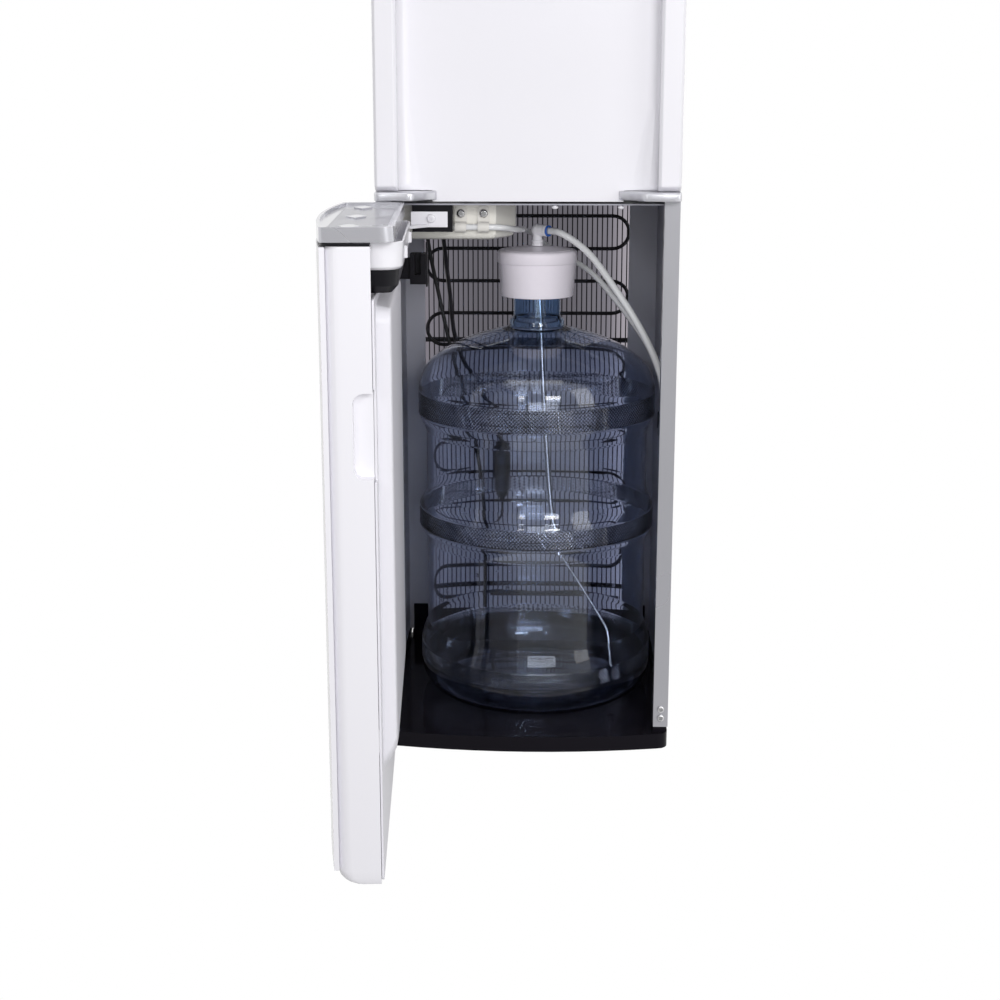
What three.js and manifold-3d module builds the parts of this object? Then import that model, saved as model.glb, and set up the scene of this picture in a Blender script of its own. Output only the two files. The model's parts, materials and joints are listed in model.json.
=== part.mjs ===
// Bottom load water cooler with its lower door open and a bottle inside.
// Millimetres. +X is the cooler's right as you face it, -Y its front, +Z up.
// The origin is on the floor, midway between the side panels.
import * as THREE from 'three';
import { mergeVertices } from 'three/addons/utils/BufferGeometryUtils.js';
import Module from 'manifold-3d';

const wasm = await Module();
wasm.setup();

// ---------------------------------------------------------------- driving sizes
const GAP = 0.3; // air left between pieces that rest on each other
const HALF_WIDTH = 155;
const SHEET = 1.2; // steel sheet
const REAR_Y = 152; // rear face of the side panels' folded edges
const FLANGE_LEFT = 25;
const FLANGE_RIGHT = 35;
const PANEL_FRONT_Y = -149.5;
const PANEL_BOTTOM_Z = 27.3;
const PANEL_TOP_Z = 1036;
const TOTAL_HEIGHT = 1050;

const FOOT_HEIGHT = 4;
const BASE_TOP_Z = 21;
const BASE_FRONT_Y = -170;
const BASE_BULGE = 13;
const BASE_REAR_WALL_Z = 62;

const PILLAR_WIDTH = 16;
const PILLAR_DEPTH = 15;
const PILLAR_FRONT_Y = -165;
const PILLAR_TOP_Z = 596;

const DECK_Z = 590; // underside of the shelf over the bottle bay
const COLLAR_BOTTOM_Z = 596.3;
const COLLAR_TOP_Z = 605;
const ALCOVE_BACK_Y = -150;
const FASCIA_FRONT_Y = -174;
const FASCIA_COLUMN = 23.5;
const ALCOVE_TOP_Z = 850;
const HEAD_FRONT_Y = -200;
const HEAD_BULGE = 30;
const MOULDING = 3; // wall of the plastic mouldings

const DOOR_AXIS = new THREE.Vector2(-147, -190);
const DOOR_OPEN_DEG = 86.5; // opening angle in the rest pose
const DOOR_LENGTH = 302;
const DOOR_END_X = -4; // hinge end, measured from the axis
const DOOR_BACK_Y = 4; // back plane, measured from the axis
const DOOR_DEPTH = 42;
const DOOR_BULGE = 11;
const DOOR_SKIN = 4; // bowed front skin, proud of the shell's rounded front corners
const DOOR_SKIN_BOTTOM_Z = 22.5;
const DOOR_BOTTOM_Z = 8;
const DOOR_TOP_Z = 579.5;

const BOTTLE_X = 9;
const BOTTLE_Y = -2;
const NECK_RADIUS = 26.4;

const CONDENSER_RUNS = 17;
const CONDENSER_PITCH = 39.8;
const CONDENSER_BOTTOM_Z = 79;
const CONDENSER_Y = 157;
const CONDENSER_LEFT = -128;
const CONDENSER_RIGHT = 120;
const WIRE_COUNT = 41;

const SPOUT_XS = [-62, 0, 62];

// ---------------------------------------------------------------- finishes
const finish = (color, roughness, metalness) => ({ color, roughness, metalness });
const COOL_WHITE = finish(0xf1f0f5, 0.35, 0);
const LINER_WHITE = finish(0xe9e7ee, 0.45, 0);
const SATIN_SILVER = finish(0xb9bac2, 0.35, 0.6);
const PANEL_GREY = finish(0x8d8d98, 0.5, 0.3);
const GLOSS_BLACK = finish(0x0b0a0f, 0.12, 0);
const MATT_BLACK = finish(0x17171b, 0.55, 0);
const ENAMEL_BLACK = finish(0x1b1a1f, 0.4, 0.2);
const CREAM = finish(0xd9d5c8, 0.5, 0);
const STEEL = finish(0xc4c6ca, 0.25, 0.9);
const RUBBER = finish(0x202022, 0.85, 0);
const TUBE_WHITE = finish(0xe9eaec, 0.4, 0);
const CAP_WHITE = finish(0xdcd6df, 0.4, 0);
const BOTTLE_BLUE = finish(0x2c4a7c, 0.08, 0);
const FOAM = finish(0xe6e3da, 0.9, 0);
const RED = finish(0xc02a2a, 0.35, 0);
const BLUE = finish(0x2358b8, 0.35, 0);

// ---------------------------------------------------------------- shape helpers
const v2 = (x, y) => new THREE.Vector2(x, y);
const v3 = (x, y, z) => new THREE.Vector3(x, y, z);
const radians = THREE.MathUtils.degToRad;

/** Welds a closed geometry so that only shared positions are left. */
function weld(geometry) {
  const bare = geometry.clone();
  bare.deleteAttribute('normal');
  bare.deleteAttribute('uv');
  return mergeVertices(bare, 1e-4);
}

function solid(geometry) {
  const welded = weld(geometry);
  return new wasm.Manifold(new wasm.Mesh({
    numProp: 3,
    vertProperties: new Float32Array(welded.attributes.position.array),
    triVerts: new Uint32Array(welded.index.array),
  }));
}

function surface(manifold) {
  const mesh = manifold.getMesh();
  const geometry = new THREE.BufferGeometry();
  geometry.setAttribute('position', new THREE.BufferAttribute(mesh.vertProperties, 3));
  geometry.setIndex(new THREE.BufferAttribute(mesh.triVerts, 1));
  geometry.computeVertexNormals();
  return geometry;
}

const join = (...geometries) =>
  surface(geometries.slice(1).reduce((sum, g) => sum.add(solid(g)), solid(geometries[0])));

const cut = (body, ...tools) =>
  surface(tools.reduce((rest, g) => rest.subtract(solid(g)), solid(body)));

/** A box given by its lowest and highest corners. */
function block(x0, y0, z0, x1, y1, z1) {
  const box = new THREE.BoxGeometry(x1 - x0, y1 - y0, z1 - z0);
  return box.translate((x0 + x1) / 2, (y0 + y1) / 2, (z0 + z1) / 2);
}

/** A plan outline (Shape or list of Vector2) raised from z0 to z1. */
function raise(outline, z0, z1, curveSegments = 8) {
  const shape = Array.isArray(outline) ? new THREE.Shape(outline) : outline;
  const body = new THREE.ExtrudeGeometry(shape, {
    depth: z1 - z0, bevelEnabled: false, curveSegments,
  });
  return body.translate(0, 0, z0);
}

/** A rod between two heights, upright at (x, y). */
function rod(x, y, radius, z0, z1, sides = 20) {
  return new THREE.CylinderGeometry(radius, radius, z1 - z0, sides)
    .rotateX(Math.PI / 2).translate(x, y, (z0 + z1) / 2);
}

/** A rod along Y, from the front y0 to the back y1. */
function rodAlongY(x, z, radius, y0, y1, sides = 20) {
  return new THREE.CylinderGeometry(radius, radius, y1 - y0, sides)
    .translate(0, (y0 + y1) / 2, 0).translate(x, 0, z);
}

/** A turned piece on an upright axis; the profile is a list of [radius, z]. */
function turned(profile, segments = 24) {
  const points = profile.map(([radius, z]) => v2(radius, z));
  return new THREE.LatheGeometry(points, segments).rotateX(Math.PI / 2);
}

/** A round tube along a smooth curve through points. */
function tube(points, radius, steps, sides = 8) {
  const section = new THREE.Shape(Array.from({ length: sides }, (_, i) => {
    const angle = (2 * Math.PI * i) / sides;
    return v2(radius * Math.cos(angle), radius * Math.sin(angle));
  }));
  const path = new THREE.CatmullRomCurve3(points, false, 'centripetal');
  return new THREE.ExtrudeGeometry(section, { steps, extrudePath: path, curveSegments: 1 });
}

/** A closed body through rings of equal length; the lids are triangles of ring positions. */
function loft(rings, lid = THREE.ShapeUtils.triangulateShape(rings[0], [])) {
  const count = rings[0].length;
  const positions = rings.flat().flatMap((p) => [p.x, p.y, p.z]);
  const index = [];
  for (let r = 0; r + 1 < rings.length; r += 1) {
    for (let i = 0; i < count; i += 1) {
      const a = r * count + i;
      const b = r * count + ((i + 1) % count);
      index.push(a, b, b + count, a, b + count, a + count);
    }
  }
  const last = (rings.length - 1) * count;
  for (const [a, b, c] of lid) {
    index.push(c, b, a, last + a, last + b, last + c);
  }
  const body = new THREE.BufferGeometry();
  body.setAttribute('position', new THREE.Float32BufferAttribute(positions, 3));
  body.setIndex(index);
  body.computeVertexNormals();
  return body;
}

/** Points of an arc about (cx, cy), from one angle to another in degrees. */
function arc(cx, cy, radius, from, to, steps = 5) {
  return Array.from({ length: steps + 1 }, (_, i) => {
    const angle = radians(from + ((to - from) * i) / steps);
    return v2(cx + radius * Math.cos(angle), cy + radius * Math.sin(angle));
  });
}

/** A rectangle with rounded corners, counter-clockwise. */
function roundedRectangle(x0, y0, x1, y1, radius, steps = 4) {
  return [
    ...arc(x1 - radius, y0 + radius, radius, -90, 0, steps),
    ...arc(x1 - radius, y1 - radius, radius, 0, 90, steps),
    ...arc(x0 + radius, y1 - radius, radius, 90, 180, steps),
    ...arc(x0 + radius, y0 + radius, radius, 180, 270, steps),
  ];
}

const cooler = new THREE.Group();

/** Adds a named piece with its own material to a group. */
function add(name, geometry, look, group = cooler) {
  const mesh = new THREE.Mesh(geometry, new THREE.MeshStandardMaterial(look));
  mesh.name = name;
  group.add(mesh);
  return mesh;
}

// ---------------------------------------------------------------- base and feet
const FOOT_PLACES = [
  ['foot_front_left', -128, -140], ['foot_front_right', 128, -140],
  ['foot_rear_left', -128, 126], ['foot_rear_right', 128, 126],
];
const FOOT_STEM = 4;

/** Plan of the base, drawn in by an inset; its front edge bows forward. */
function baseOutline(inset) {
  const x = HALF_WIDTH - inset;
  const y = BASE_FRONT_Y + inset;
  const corner = 12 - Math.min(inset, 8);
  const front = Array.from({ length: 11 }, (_, i) => {
    const t = -1 + (2 * i) / 10;
    return v2(t * (x - corner), y - BASE_BULGE * (1 - t * t));
  });
  return [
    ...front,
    ...arc(x - corner, y + corner, corner, -60, 0, 3),
    v2(x, REAR_Y - inset),
    v2(-x, REAR_Y - inset),
    ...arc(-x + corner, y + corner, corner, 180, 240, 3),
  ];
}

function baseTray() {
  const floor = raise(baseOutline(0), FOOT_HEIGHT, BASE_TOP_Z);
  const hollow = raise(baseOutline(4), FOOT_HEIGHT - 1, BASE_TOP_Z - 4);
  const bosses = FOOT_PLACES.map(([, x, y]) => rod(x, y, 18, FOOT_HEIGHT, BASE_TOP_Z - 2, 16));
  const pad = rod(0, 0, 30, FOOT_HEIGHT, BASE_TOP_Z - 2, 16);
  const ribs = [
    block(-153, -1.5, FOOT_HEIGHT + 3, 153, 1.5, BASE_TOP_Z - 2),
    block(-1.5, -180, FOOT_HEIGHT + 3, 1.5, REAR_Y - 2, BASE_TOP_Z - 2),
  ];
  const stems = FOOT_PLACES.map(([, x, y]) => rod(x, y, FOOT_STEM + 0.4, 0, 14, 12));
  const rightCorner = block(139, -163, BASE_TOP_Z - 2, 153, -149, PANEL_BOTTOM_Z - GAP - 0.1);
  const sideRims = [-1, 1].map((side) => {
    const x = side * (HALF_WIDTH - 4);
    return block(Math.min(x, side * HALF_WIDTH), -149.8, BASE_TOP_Z - 2,
      Math.max(x, side * HALF_WIDTH), REAR_Y, PANEL_BOTTOM_Z - GAP);
  });
  const rearWall = block(-148, REAR_Y - 8, BASE_TOP_Z - 2, 148, REAR_Y - 4.5, BASE_REAR_WALL_Z);
  const kerb = block(-150, REAR_Y - 8, BASE_TOP_Z - 2, 150, REAR_Y, PANEL_BOTTOM_Z - GAP);
  return cut(join(cut(floor, hollow), ...bosses, pad, ...ribs, rightCorner, ...sideRims,
    rearWall, kerb), ...stems);
}

function foot(x, y) {
  const profile = [
    [0, 0], [13, 0], [15, 1.5], [15, FOOT_HEIGHT - GAP], [FOOT_STEM, FOOT_HEIGHT - GAP],
    [FOOT_STEM, 12], [0, 12],
  ];
  return turned(profile, 20).translate(x, y, 0);
}

add('base_tray', baseTray(), GLOSS_BLACK);
for (const [name, x, y] of FOOT_PLACES) add(name, foot(x, y), RUBBER);

// ---------------------------------------------------------------- cabinet sheet metal
/** One side panel with its folded rear edge. */
function sidePanel(side, flange) {
  const outer = side * HALF_WIDTH;
  const inner = side * (HALF_WIDTH - SHEET);
  const edge = side * (HALF_WIDTH - flange);
  const plan = [
    v2(outer, PANEL_FRONT_Y), v2(outer, REAR_Y), v2(edge, REAR_Y),
    v2(edge, REAR_Y - SHEET), v2(inner, REAR_Y - SHEET), v2(inner, PANEL_FRONT_Y),
  ];
  return raise(plan, PANEL_BOTTOM_Z, PANEL_TOP_Z);
}

/** A lower pillar: a channel whose open side looks back. */
function pillar(side) {
  const wall = 1.5;
  const outer = side * HALF_WIDTH;
  const inner = side * (HALF_WIDTH - PILLAR_WIDTH);
  const back = PILLAR_FRONT_Y + PILLAR_DEPTH;
  const plan = [
    v2(outer, PILLAR_FRONT_Y), v2(outer, back), v2(outer - side * wall, back),
    v2(outer - side * wall, PILLAR_FRONT_Y + wall), v2(inner + side * wall, PILLAR_FRONT_Y + wall),
    v2(inner + side * wall, back), v2(inner, back), v2(inner, PILLAR_FRONT_Y),
  ];
  const holes = PILLAR_SCREW_ZS.map((z) =>
    rodAlongY(side * PILLAR_SCREW_X, z, 2.3, PILLAR_FRONT_Y - 1, PILLAR_FRONT_Y + 3, 12));
  return cut(raise(plan, PANEL_BOTTOM_Z, PILLAR_TOP_Z), ...(side > 0 ? holes : []));
}

/** A dome-headed screw whose shank points back. */
function panScrew(headRadius, shankRadius, shankLength) {
  const profile = [
    [0, 0], [shankRadius, 0], [shankRadius, shankLength], [headRadius, shankLength],
    [headRadius * 0.92, shankLength + headRadius * 0.35],
    [headRadius * 0.55, shankLength + headRadius * 0.62], [0, shankLength + headRadius * 0.7],
  ];
  return turned(profile, 14).translate(0, 0, -shankLength).rotateX(Math.PI / 2);
}

const PILLAR_SCREW_X = 147;
const PILLAR_SCREW_ZS = [38, 48];

add('side_panel_left', sidePanel(-1, FLANGE_LEFT), PANEL_GREY);
add('side_panel_right', sidePanel(1, FLANGE_RIGHT), PANEL_GREY);
add('pillar_left', pillar(-1), SATIN_SILVER);
add('pillar_right', pillar(1), SATIN_SILVER);
for (const [i, z] of PILLAR_SCREW_ZS.entries()) {
  const screw = add(`pillar_screw_${i + 1}`, panScrew(4, 2, 6), STEEL);
  screw.position.set(PILLAR_SCREW_X, PILLAR_FRONT_Y - GAP, z);
}

function deckPlate() {
  const plan = [v2(-153.4, ALCOVE_BACK_Y + 5), v2(153.4, ALCOVE_BACK_Y + 5),
    v2(153.4, REAR_Y - 2), v2(-153.4, REAR_Y - 2)];
  const lip = block(-120, REAR_Y - 3.5, DECK_Z, 112, REAR_Y - 2, DECK_Z + 14);
  return join(raise(plan, DECK_Z, DECK_Z + 1.5), lip);
}

/** Closes the back above the condenser; holds the switches and the mains inlet. */
const REAR_PANEL_Z = 760;
const ROCKER_XS = [-62, -30];
const ROCKER_Z = 806;
const INLET_X = 74;
function rearUpperPanel() {
  const left = -HALF_WIDTH + FLANGE_LEFT + GAP;
  const right = HALF_WIDTH - FLANGE_RIGHT - GAP;
  const sheet = block(left, REAR_Y - SHEET, REAR_PANEL_Z, right, REAR_Y, PANEL_TOP_Z);
  const vents = Array.from({ length: 8 }, (_, i) =>
    block(-70, REAR_Y - 3, 900 + i * 12, 60, REAR_Y + 1, 905 + i * 12));
  const switches = ROCKER_XS.map((x) =>
    block(x - 10.4, REAR_Y - 3, ROCKER_Z - 15.4, x + 10.4, REAR_Y + 1, ROCKER_Z + 15.4));
  const inlet = block(INLET_X - 14.4, REAR_Y - 3, ROCKER_Z - 10.4, INLET_X + 14.4, REAR_Y + 1,
    ROCKER_Z + 10.4);
  return cut(sheet, ...vents, ...switches, inlet);
}

add('deck_plate', deckPlate(), PANEL_GREY);
add('rear_upper_panel', rearUpperPanel(), PANEL_GREY);

function mainsInlet() {
  const body = block(INLET_X - 14, REAR_Y - 16, ROCKER_Z - 10, INLET_X + 14, REAR_Y + 1, ROCKER_Z + 10);
  const rim = block(INLET_X - 17, REAR_Y + GAP, ROCKER_Z - 13, INLET_X + 17, REAR_Y + 3, ROCKER_Z + 13);
  const socket = block(INLET_X - 11, REAR_Y - 13, ROCKER_Z - 7, INLET_X + 11, REAR_Y + 4, ROCKER_Z + 7);
  const pins = [-6, 0, 6].map((x) =>
    block(INLET_X + x - 1, REAR_Y - 14, ROCKER_Z - 2, INLET_X + x + 1, REAR_Y - 2, ROCKER_Z + 2));
  return join(cut(join(body, rim), socket), ...pins);
}
add('mains_inlet', mainsInlet(), MATT_BLACK);

const ROCKER_TILT_DEG = 8; // each way from level
const PROFILE_ACROSS_X = new THREE.Matrix4().makeBasis(v3(0, 1, 0), v3(0, 0, 1), v3(1, 0, 0));
/** A rocker cap: its side profile, drawn in depth and height, runs along X. */
function rocker() {
  const side = [v2(-6, -4), v2(-2, -13), v2(3.2, -13), v2(1.6, 0), v2(3.2, 13), v2(-2, 13), v2(-6, 4)];
  const body = new THREE.ExtrudeGeometry(new THREE.Shape(side), { depth: 18, bevelEnabled: false });
  return body.translate(0, 0, -9).applyMatrix4(PROFILE_ACROSS_X);
}
for (const [name, x] of [['rocker_heating', ROCKER_XS[0]], ['rocker_cooling', ROCKER_XS[1]]]) {
  const cap = add(name, rocker(), name === 'rocker_heating' ? RED : MATT_BLACK);
  cap.position.set(x, REAR_Y - 1.5, ROCKER_Z);
  cap.rotation.x = radians(ROCKER_TILT_DEG);
}

// ---------------------------------------------------------------- alcove, collar and head
const COLUMN_INNER = HALF_WIDTH - FASCIA_COLUMN;
const ALCOVE_SWEEP_LOW = 104; // half width of the flat back at the bottom of the alcove
const ALCOVE_SWEEP_HIGH = 121;

/** A copy of an open plan path moved sideways by a wall thickness, to its left. */
function offsetPath(path, distance) {
  return path.map((point, i) => {
    const before = path[Math.max(i - 1, 0)];
    const after = path[Math.min(i + 1, path.length - 1)];
    const a = i > 0 ? point.clone().sub(before).normalize() : after.clone().sub(point).normalize();
    const b = i < path.length - 1 ? after.clone().sub(point).normalize() : a;
    const normal = v2(-(a.y + b.y), a.x + b.x).normalize();
    const spread = Math.max(0.35, normal.x * -a.y + normal.y * a.x);
    return point.clone().addScaledVector(normal, distance / spread);
  });
}

const atHeight = (outline, z) => outline.map((p) => v3(p.x, p.y, z));

/** Plan of the alcove moulding: columns, concave cheeks and a flat back. */
function fasciaOutline(frontY, sweep) {
  const cheek = Array.from({ length: 6 }, (_, i) => {
    const t = (i + 1) / 6;
    const turn = (Math.PI / 2) * t;
    return v2(COLUMN_INNER - (COLUMN_INNER - sweep) * (1 - Math.cos(turn)),
      frontY + 8 + (ALCOVE_BACK_Y - frontY - 8) * Math.sin(turn));
  });
  const right = [v2(sweep, ALCOVE_BACK_Y), ...cheek.slice(0, -1).reverse(), v2(COLUMN_INNER, frontY + 8),
    v2(COLUMN_INNER, frontY + 3), v2(COLUMN_INNER + 3, frontY),
    v2(HALF_WIDTH - 3, frontY), v2(HALF_WIDTH, frontY + 3), v2(HALF_WIDTH, ALCOVE_BACK_Y)];
  const left = right.map((p) => v2(-p.x, p.y)).reverse();
  const visible = [...left, ...right];
  return [...visible, ...offsetPath(visible, MOULDING).reverse()];
}

function alcoveFascia() {
  const low = COLLAR_TOP_Z + GAP;
  const sections = [
    [low, FASCIA_FRONT_Y + 9, ALCOVE_SWEEP_LOW], [low + 2, FASCIA_FRONT_Y + 5, ALCOVE_SWEEP_LOW],
    [low + 4.5, FASCIA_FRONT_Y + 1.5, ALCOVE_SWEEP_LOW + 1], [612, FASCIA_FRONT_Y, ALCOVE_SWEEP_LOW + 2],
    [690, FASCIA_FRONT_Y, ALCOVE_SWEEP_HIGH - 1], [ALCOVE_TOP_Z, FASCIA_FRONT_Y, ALCOVE_SWEEP_HIGH],
  ];
  const shell = loft(sections.map(([z, front, sweep]) => atHeight(fasciaOutline(front, sweep), z)));
  const apron = block(-98, ALCOVE_BACK_Y, DECK_Z + 3.8, 98, ALCOVE_BACK_Y + MOULDING, low + 6);
  return join(shell, apron);
}

/** One arm of the collar that frames the drip tray, with the ear at its inner end. */
function collarArm(side) {
  const plan = (setBack) => [
    v2(95, ALCOVE_BACK_Y - GAP - 0.1), v2(93.3, -153.5), v2(94.5, -158), v2(99, -161.5), v2(104, -166),
    v2(108.5, -172), v2(113, -179), v2(116.5, -183), v2(121, -184.5), v2(148, -184.5),
    v2(153, -182.5), v2(154.8, -178), v2(154.8, -150), v2(153.3, -150), v2(153.3, -144), v2(99, -144),
    v2(99, ALCOVE_BACK_Y - GAP - 0.1),
  ].map((p) => v2(side * p.x, p.y < -153 ? p.y + setBack : p.y));
  const layer = (z, setBack) => atHeight(side > 0 ? plan(setBack) : plan(setBack).reverse(), z);
  return loft([layer(COLLAR_BOTTOM_Z, 0.6), layer(COLLAR_BOTTOM_Z + 0.8, 0), layer(COLLAR_TOP_Z - 2.4, 0),
    layer(COLLAR_TOP_Z - 0.8, 1), layer(COLLAR_TOP_Z, 2.6)]);
}

function collar() {
  const bar = block(-112, ALCOVE_BACK_Y + MOULDING + GAP, COLLAR_BOTTOM_Z, 112, -144, COLLAR_TOP_Z);
  return join(collarArm(-1), collarArm(1), bar);
}

const headFrontY = (x, front, bulge) => front - bulge * (1 - (x / 150) ** 2);

/** Plan of the head with a bowed front; inset draws it in on all sides. */
function headOutline(front, bulge, backY, inset = 0) {
  const edge = HALF_WIDTH - inset;
  const corner = 14;
  const bow = Array.from({ length: 13 }, (_, i) => {
    const x = (-1 + i / 6) * (edge - corner);
    return v2(x, headFrontY(x, front, bulge) + inset);
  });
  const shoulderY = headFrontY(edge - corner, front, bulge) + inset + corner;
  return [
    ...bow,
    ...arc(edge - corner, shoulderY, corner, -60, 0, 3),
    v2(edge, backY), v2(-edge, backY),
    ...arc(-edge + corner, shoulderY, corner, 180, 240, 3),
  ];
}

const HEAD_BOTTOM_Z = ALCOVE_TOP_Z + GAP;
const PANEL_HALF = 88;
const PANEL_Z = [905, 985];
const SPOUT_Y = -192;
const BUTTON_Z = 948;

function headHousing() {
  const sections = [[HEAD_BOTTOM_Z, HEAD_FRONT_Y + 14], [HEAD_BOTTOM_Z + 8, HEAD_FRONT_Y + 5],
    [HEAD_BOTTOM_Z + 18, HEAD_FRONT_Y], [PANEL_TOP_Z, HEAD_FRONT_Y]];
  const outer = loft(sections.map(([z, front]) => atHeight(headOutline(front, HEAD_BULGE, -150), z)));
  const lift = [MOULDING, 0, 0, 1];
  const inner = loft(sections.map(([z, front], i) =>
    atHeight(headOutline(front, HEAD_BULGE, -140, MOULDING), z + lift[i])));
  const window = block(-PANEL_HALF, -260, PANEL_Z[0], PANEL_HALF, -190, PANEL_Z[1]);
  const necks = SPOUT_XS.map((x) => rod(x, SPOUT_Y, 6.4, HEAD_BOTTOM_Z - 2, HEAD_BOTTOM_Z + 6, 16));
  return cut(outer, inner, window, ...necks);
}

/** A slab with rounded corners in X and Z, from the front y0 to the back y1. */
function slab(x0, z0, x1, z1, radius, y0, y1) {
  const shape = new THREE.Shape(roundedRectangle(x0, z0, x1, z1, radius));
  const body = new THREE.ExtrudeGeometry(shape, { depth: y1 - y0, bevelEnabled: false });
  return body.rotateX(Math.PI / 2).translate(0, y1, 0);
}

const BUTTON_HALF = [16, 12];
function controlPanel() {
  const reach = PANEL_HALF - GAP;
  const front = Array.from({ length: 11 }, (_, i) => {
    const x = (-1 + i / 5) * reach;
    return v2(x, headFrontY(x, HEAD_FRONT_Y, HEAD_BULGE) - 1.2);
  });
  const back = front.map((p) => v2(p.x, p.y + 4)).reverse();
  const board = raise([...front, ...back], PANEL_Z[0] + GAP, PANEL_Z[1] - GAP);
  const apertures = SPOUT_XS.map((x) => slab(x - BUTTON_HALF[0] - 0.5, BUTTON_Z - BUTTON_HALF[1] - 0.5,
    x + BUTTON_HALF[0] + 0.5, BUTTON_Z + BUTTON_HALF[1] + 0.5, 6.5, -270, -180));
  const lockSlot = block(50, -270, 919, 74, -180, 927);
  return cut(board, ...apertures, lockSlot);
}

function topCover() {
  const z0 = PANEL_TOP_Z + GAP;
  const back = REAR_Y;
  const outer = loft([[z0, 0], [TOTAL_HEIGHT - 5, 0], [TOTAL_HEIGHT - 1.5, 1.5], [TOTAL_HEIGHT, 5]].map(
    ([z, inset]) => atHeight(headOutline(HEAD_FRONT_Y, HEAD_BULGE, back - inset, inset), z)));
  const room = headOutline(HEAD_FRONT_Y, HEAD_BULGE, back - MOULDING, MOULDING);
  const hollow = raise(room, z0 - 1, TOTAL_HEIGHT - 4);
  return cut(outer, hollow);
}

function spout() {
  return turned([[3.5, 826], [6, 826], [7.6, 829], [8.6, 838], [11, 846], [11, 849.9], [6, 849.9],
    [6, 868], [3.5, 868], [3.5, 826]], 18);
}

add('alcove_fascia', alcoveFascia(), COOL_WHITE);
add('collar', collar(), SATIN_SILVER);
add('head_housing', headHousing(), COOL_WHITE);
add('control_panel', controlPanel(), GLOSS_BLACK);
add('top_cover', topCover(), COOL_WHITE);
const OUTLETS = [['cold', BLUE], ['room', COOL_WHITE], ['hot', RED]];
for (const [i, [name, look]] of OUTLETS.entries()) {
  const x = SPOUT_XS[i];
  add(`spout_${name}`, spout().translate(x, SPOUT_Y, 0), COOL_WHITE);
  const faceY = headFrontY(x, HEAD_FRONT_Y, HEAD_BULGE) - 4.5;
  add(`button_${name}`, slab(x - BUTTON_HALF[0], BUTTON_Z - BUTTON_HALF[1], x + BUTTON_HALF[0],
    BUTTON_Z + BUTTON_HALF[1], 6, faceY, faceY + 14), look);
}
const LOCK_FACE_Y = headFrontY(62, HEAD_FRONT_Y, HEAD_BULGE) - 4;
add('child_lock', slab(50.8, 919.6, 62.8, 926.4, 2.5, LOCK_FACE_Y, LOCK_FACE_Y + 9), COOL_WHITE);

// ---------------------------------------------------------------- refrigeration and tanks
const DECK_TOP_Z = DECK_Z + 1.5 + GAP;
const COMPRESSOR_AT = v2(30, 60);
const HOT_TANK_AT = v2(-88, 40);
const COLD_TANK_AT = v2(30, 40);

function compressor() {
  const can = turned([[0, 606], [42, 606], [58, 611], [63, 622], [63, 686], [65, 690], [65, 698],
    [63, 702], [63, 738], [57, 753], [34, 764], [0, 767]], 24);
  const plate = block(-56, -46, 600, 56, 46, 604);
  const saddle = rod(0, 0, 40, 603, 608, 20);
  const mounts = [[-48, -38], [48, -38], [-48, 38], [48, 38]].map(([x, y]) =>
    rod(x, y, 7, DECK_TOP_Z, 601, 10));
  const stubs = [rod(-30, 0, 4, 750, 790, 8), rod(30, 10, 3, 750, 784, 8)];
  return join(can, plate, saddle, ...mounts, ...stubs).translate(COMPRESSOR_AT.x, COMPRESSOR_AT.y, 0);
}

function hotTank() {
  const can = turned([[0, 640], [40, 640], [46, 645], [46, 770], [40, 778], [0, 781]], 20);
  const legs = [[-30, 0], [15, 26], [15, -26]].map(([x, y]) => rod(x, y, 4, DECK_TOP_Z, 645, 8));
  const outlet = rod(0, 0, 5, 775, 800, 10);
  return join(can, ...legs, outlet).translate(HOT_TANK_AT.x, HOT_TANK_AT.y, 0);
}

function coldTank() {
  const jacket = turned([[0, 812], [72, 812], [80, 820], [80, 1000], [72, 1010], [0, 1010]], 24);
  const plate = block(-78, -74, 806, 78, 74, 812.5);
  const legs = [[-70, -66], [70, -66], [-70, 66], [70, 66]].map(([x, y]) =>
    rod(x, y, 5, DECK_TOP_Z, 808, 8));
  return join(jacket, plate, ...legs).translate(COLD_TANK_AT.x, COLD_TANK_AT.y, 0);
}

add('compressor', compressor(), ENAMEL_BLACK);
add('hot_tank', hotTank(), STEEL);
add('cold_tank', coldTank(), FOAM);

/** The serpentine: level runs joined by half turns, first on the left, then on the right. */
function condenserTube() {
  const radius = 2.5;
  const sides = 6;
  const turnRadius = CONDENSER_PITCH / 2;
  const turnSteps = 5;
  const centres = [];
  for (let run = 0; run < CONDENSER_RUNS; run += 1) {
    const z = CONDENSER_BOTTOM_Z + run * CONDENSER_PITCH;
    const leftwards = run % 2 === 0;
    const left = CONDENSER_LEFT + turnRadius;
    const right = CONDENSER_RIGHT - turnRadius;
    if (run === 0) centres.push([CONDENSER_RIGHT - 4, z, -1, 0]);
    if (run === CONDENSER_RUNS - 1) {
      centres.push([CONDENSER_LEFT + 4, z, -1, 0]);
      break;
    }
    const x = leftwards ? left : right;
    const out = leftwards ? -1 : 1;
    for (let i = 0; i <= turnSteps; i += 1) {
      const angle = (Math.PI * i) / turnSteps - Math.PI / 2;
      centres.push([x + out * turnRadius * Math.cos(angle), z + turnRadius + turnRadius * Math.sin(angle),
        out * Math.sin(-angle), Math.cos(angle)]);
    }
  }
  const rings = centres.map(([x, z, tx, tz]) => Array.from({ length: sides }, (_, i) => {
    const angle = (2 * Math.PI * i) / sides;
    const across = radius * Math.sin(angle);
    return v3(x - across * tz, CONDENSER_Y + radius * Math.cos(angle), z + across * tx);
  }));
  const fan = Array.from({ length: sides - 2 }, (_, i) => [0, i + 1, i + 2]);
  return loft(rings, fan);
}

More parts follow.
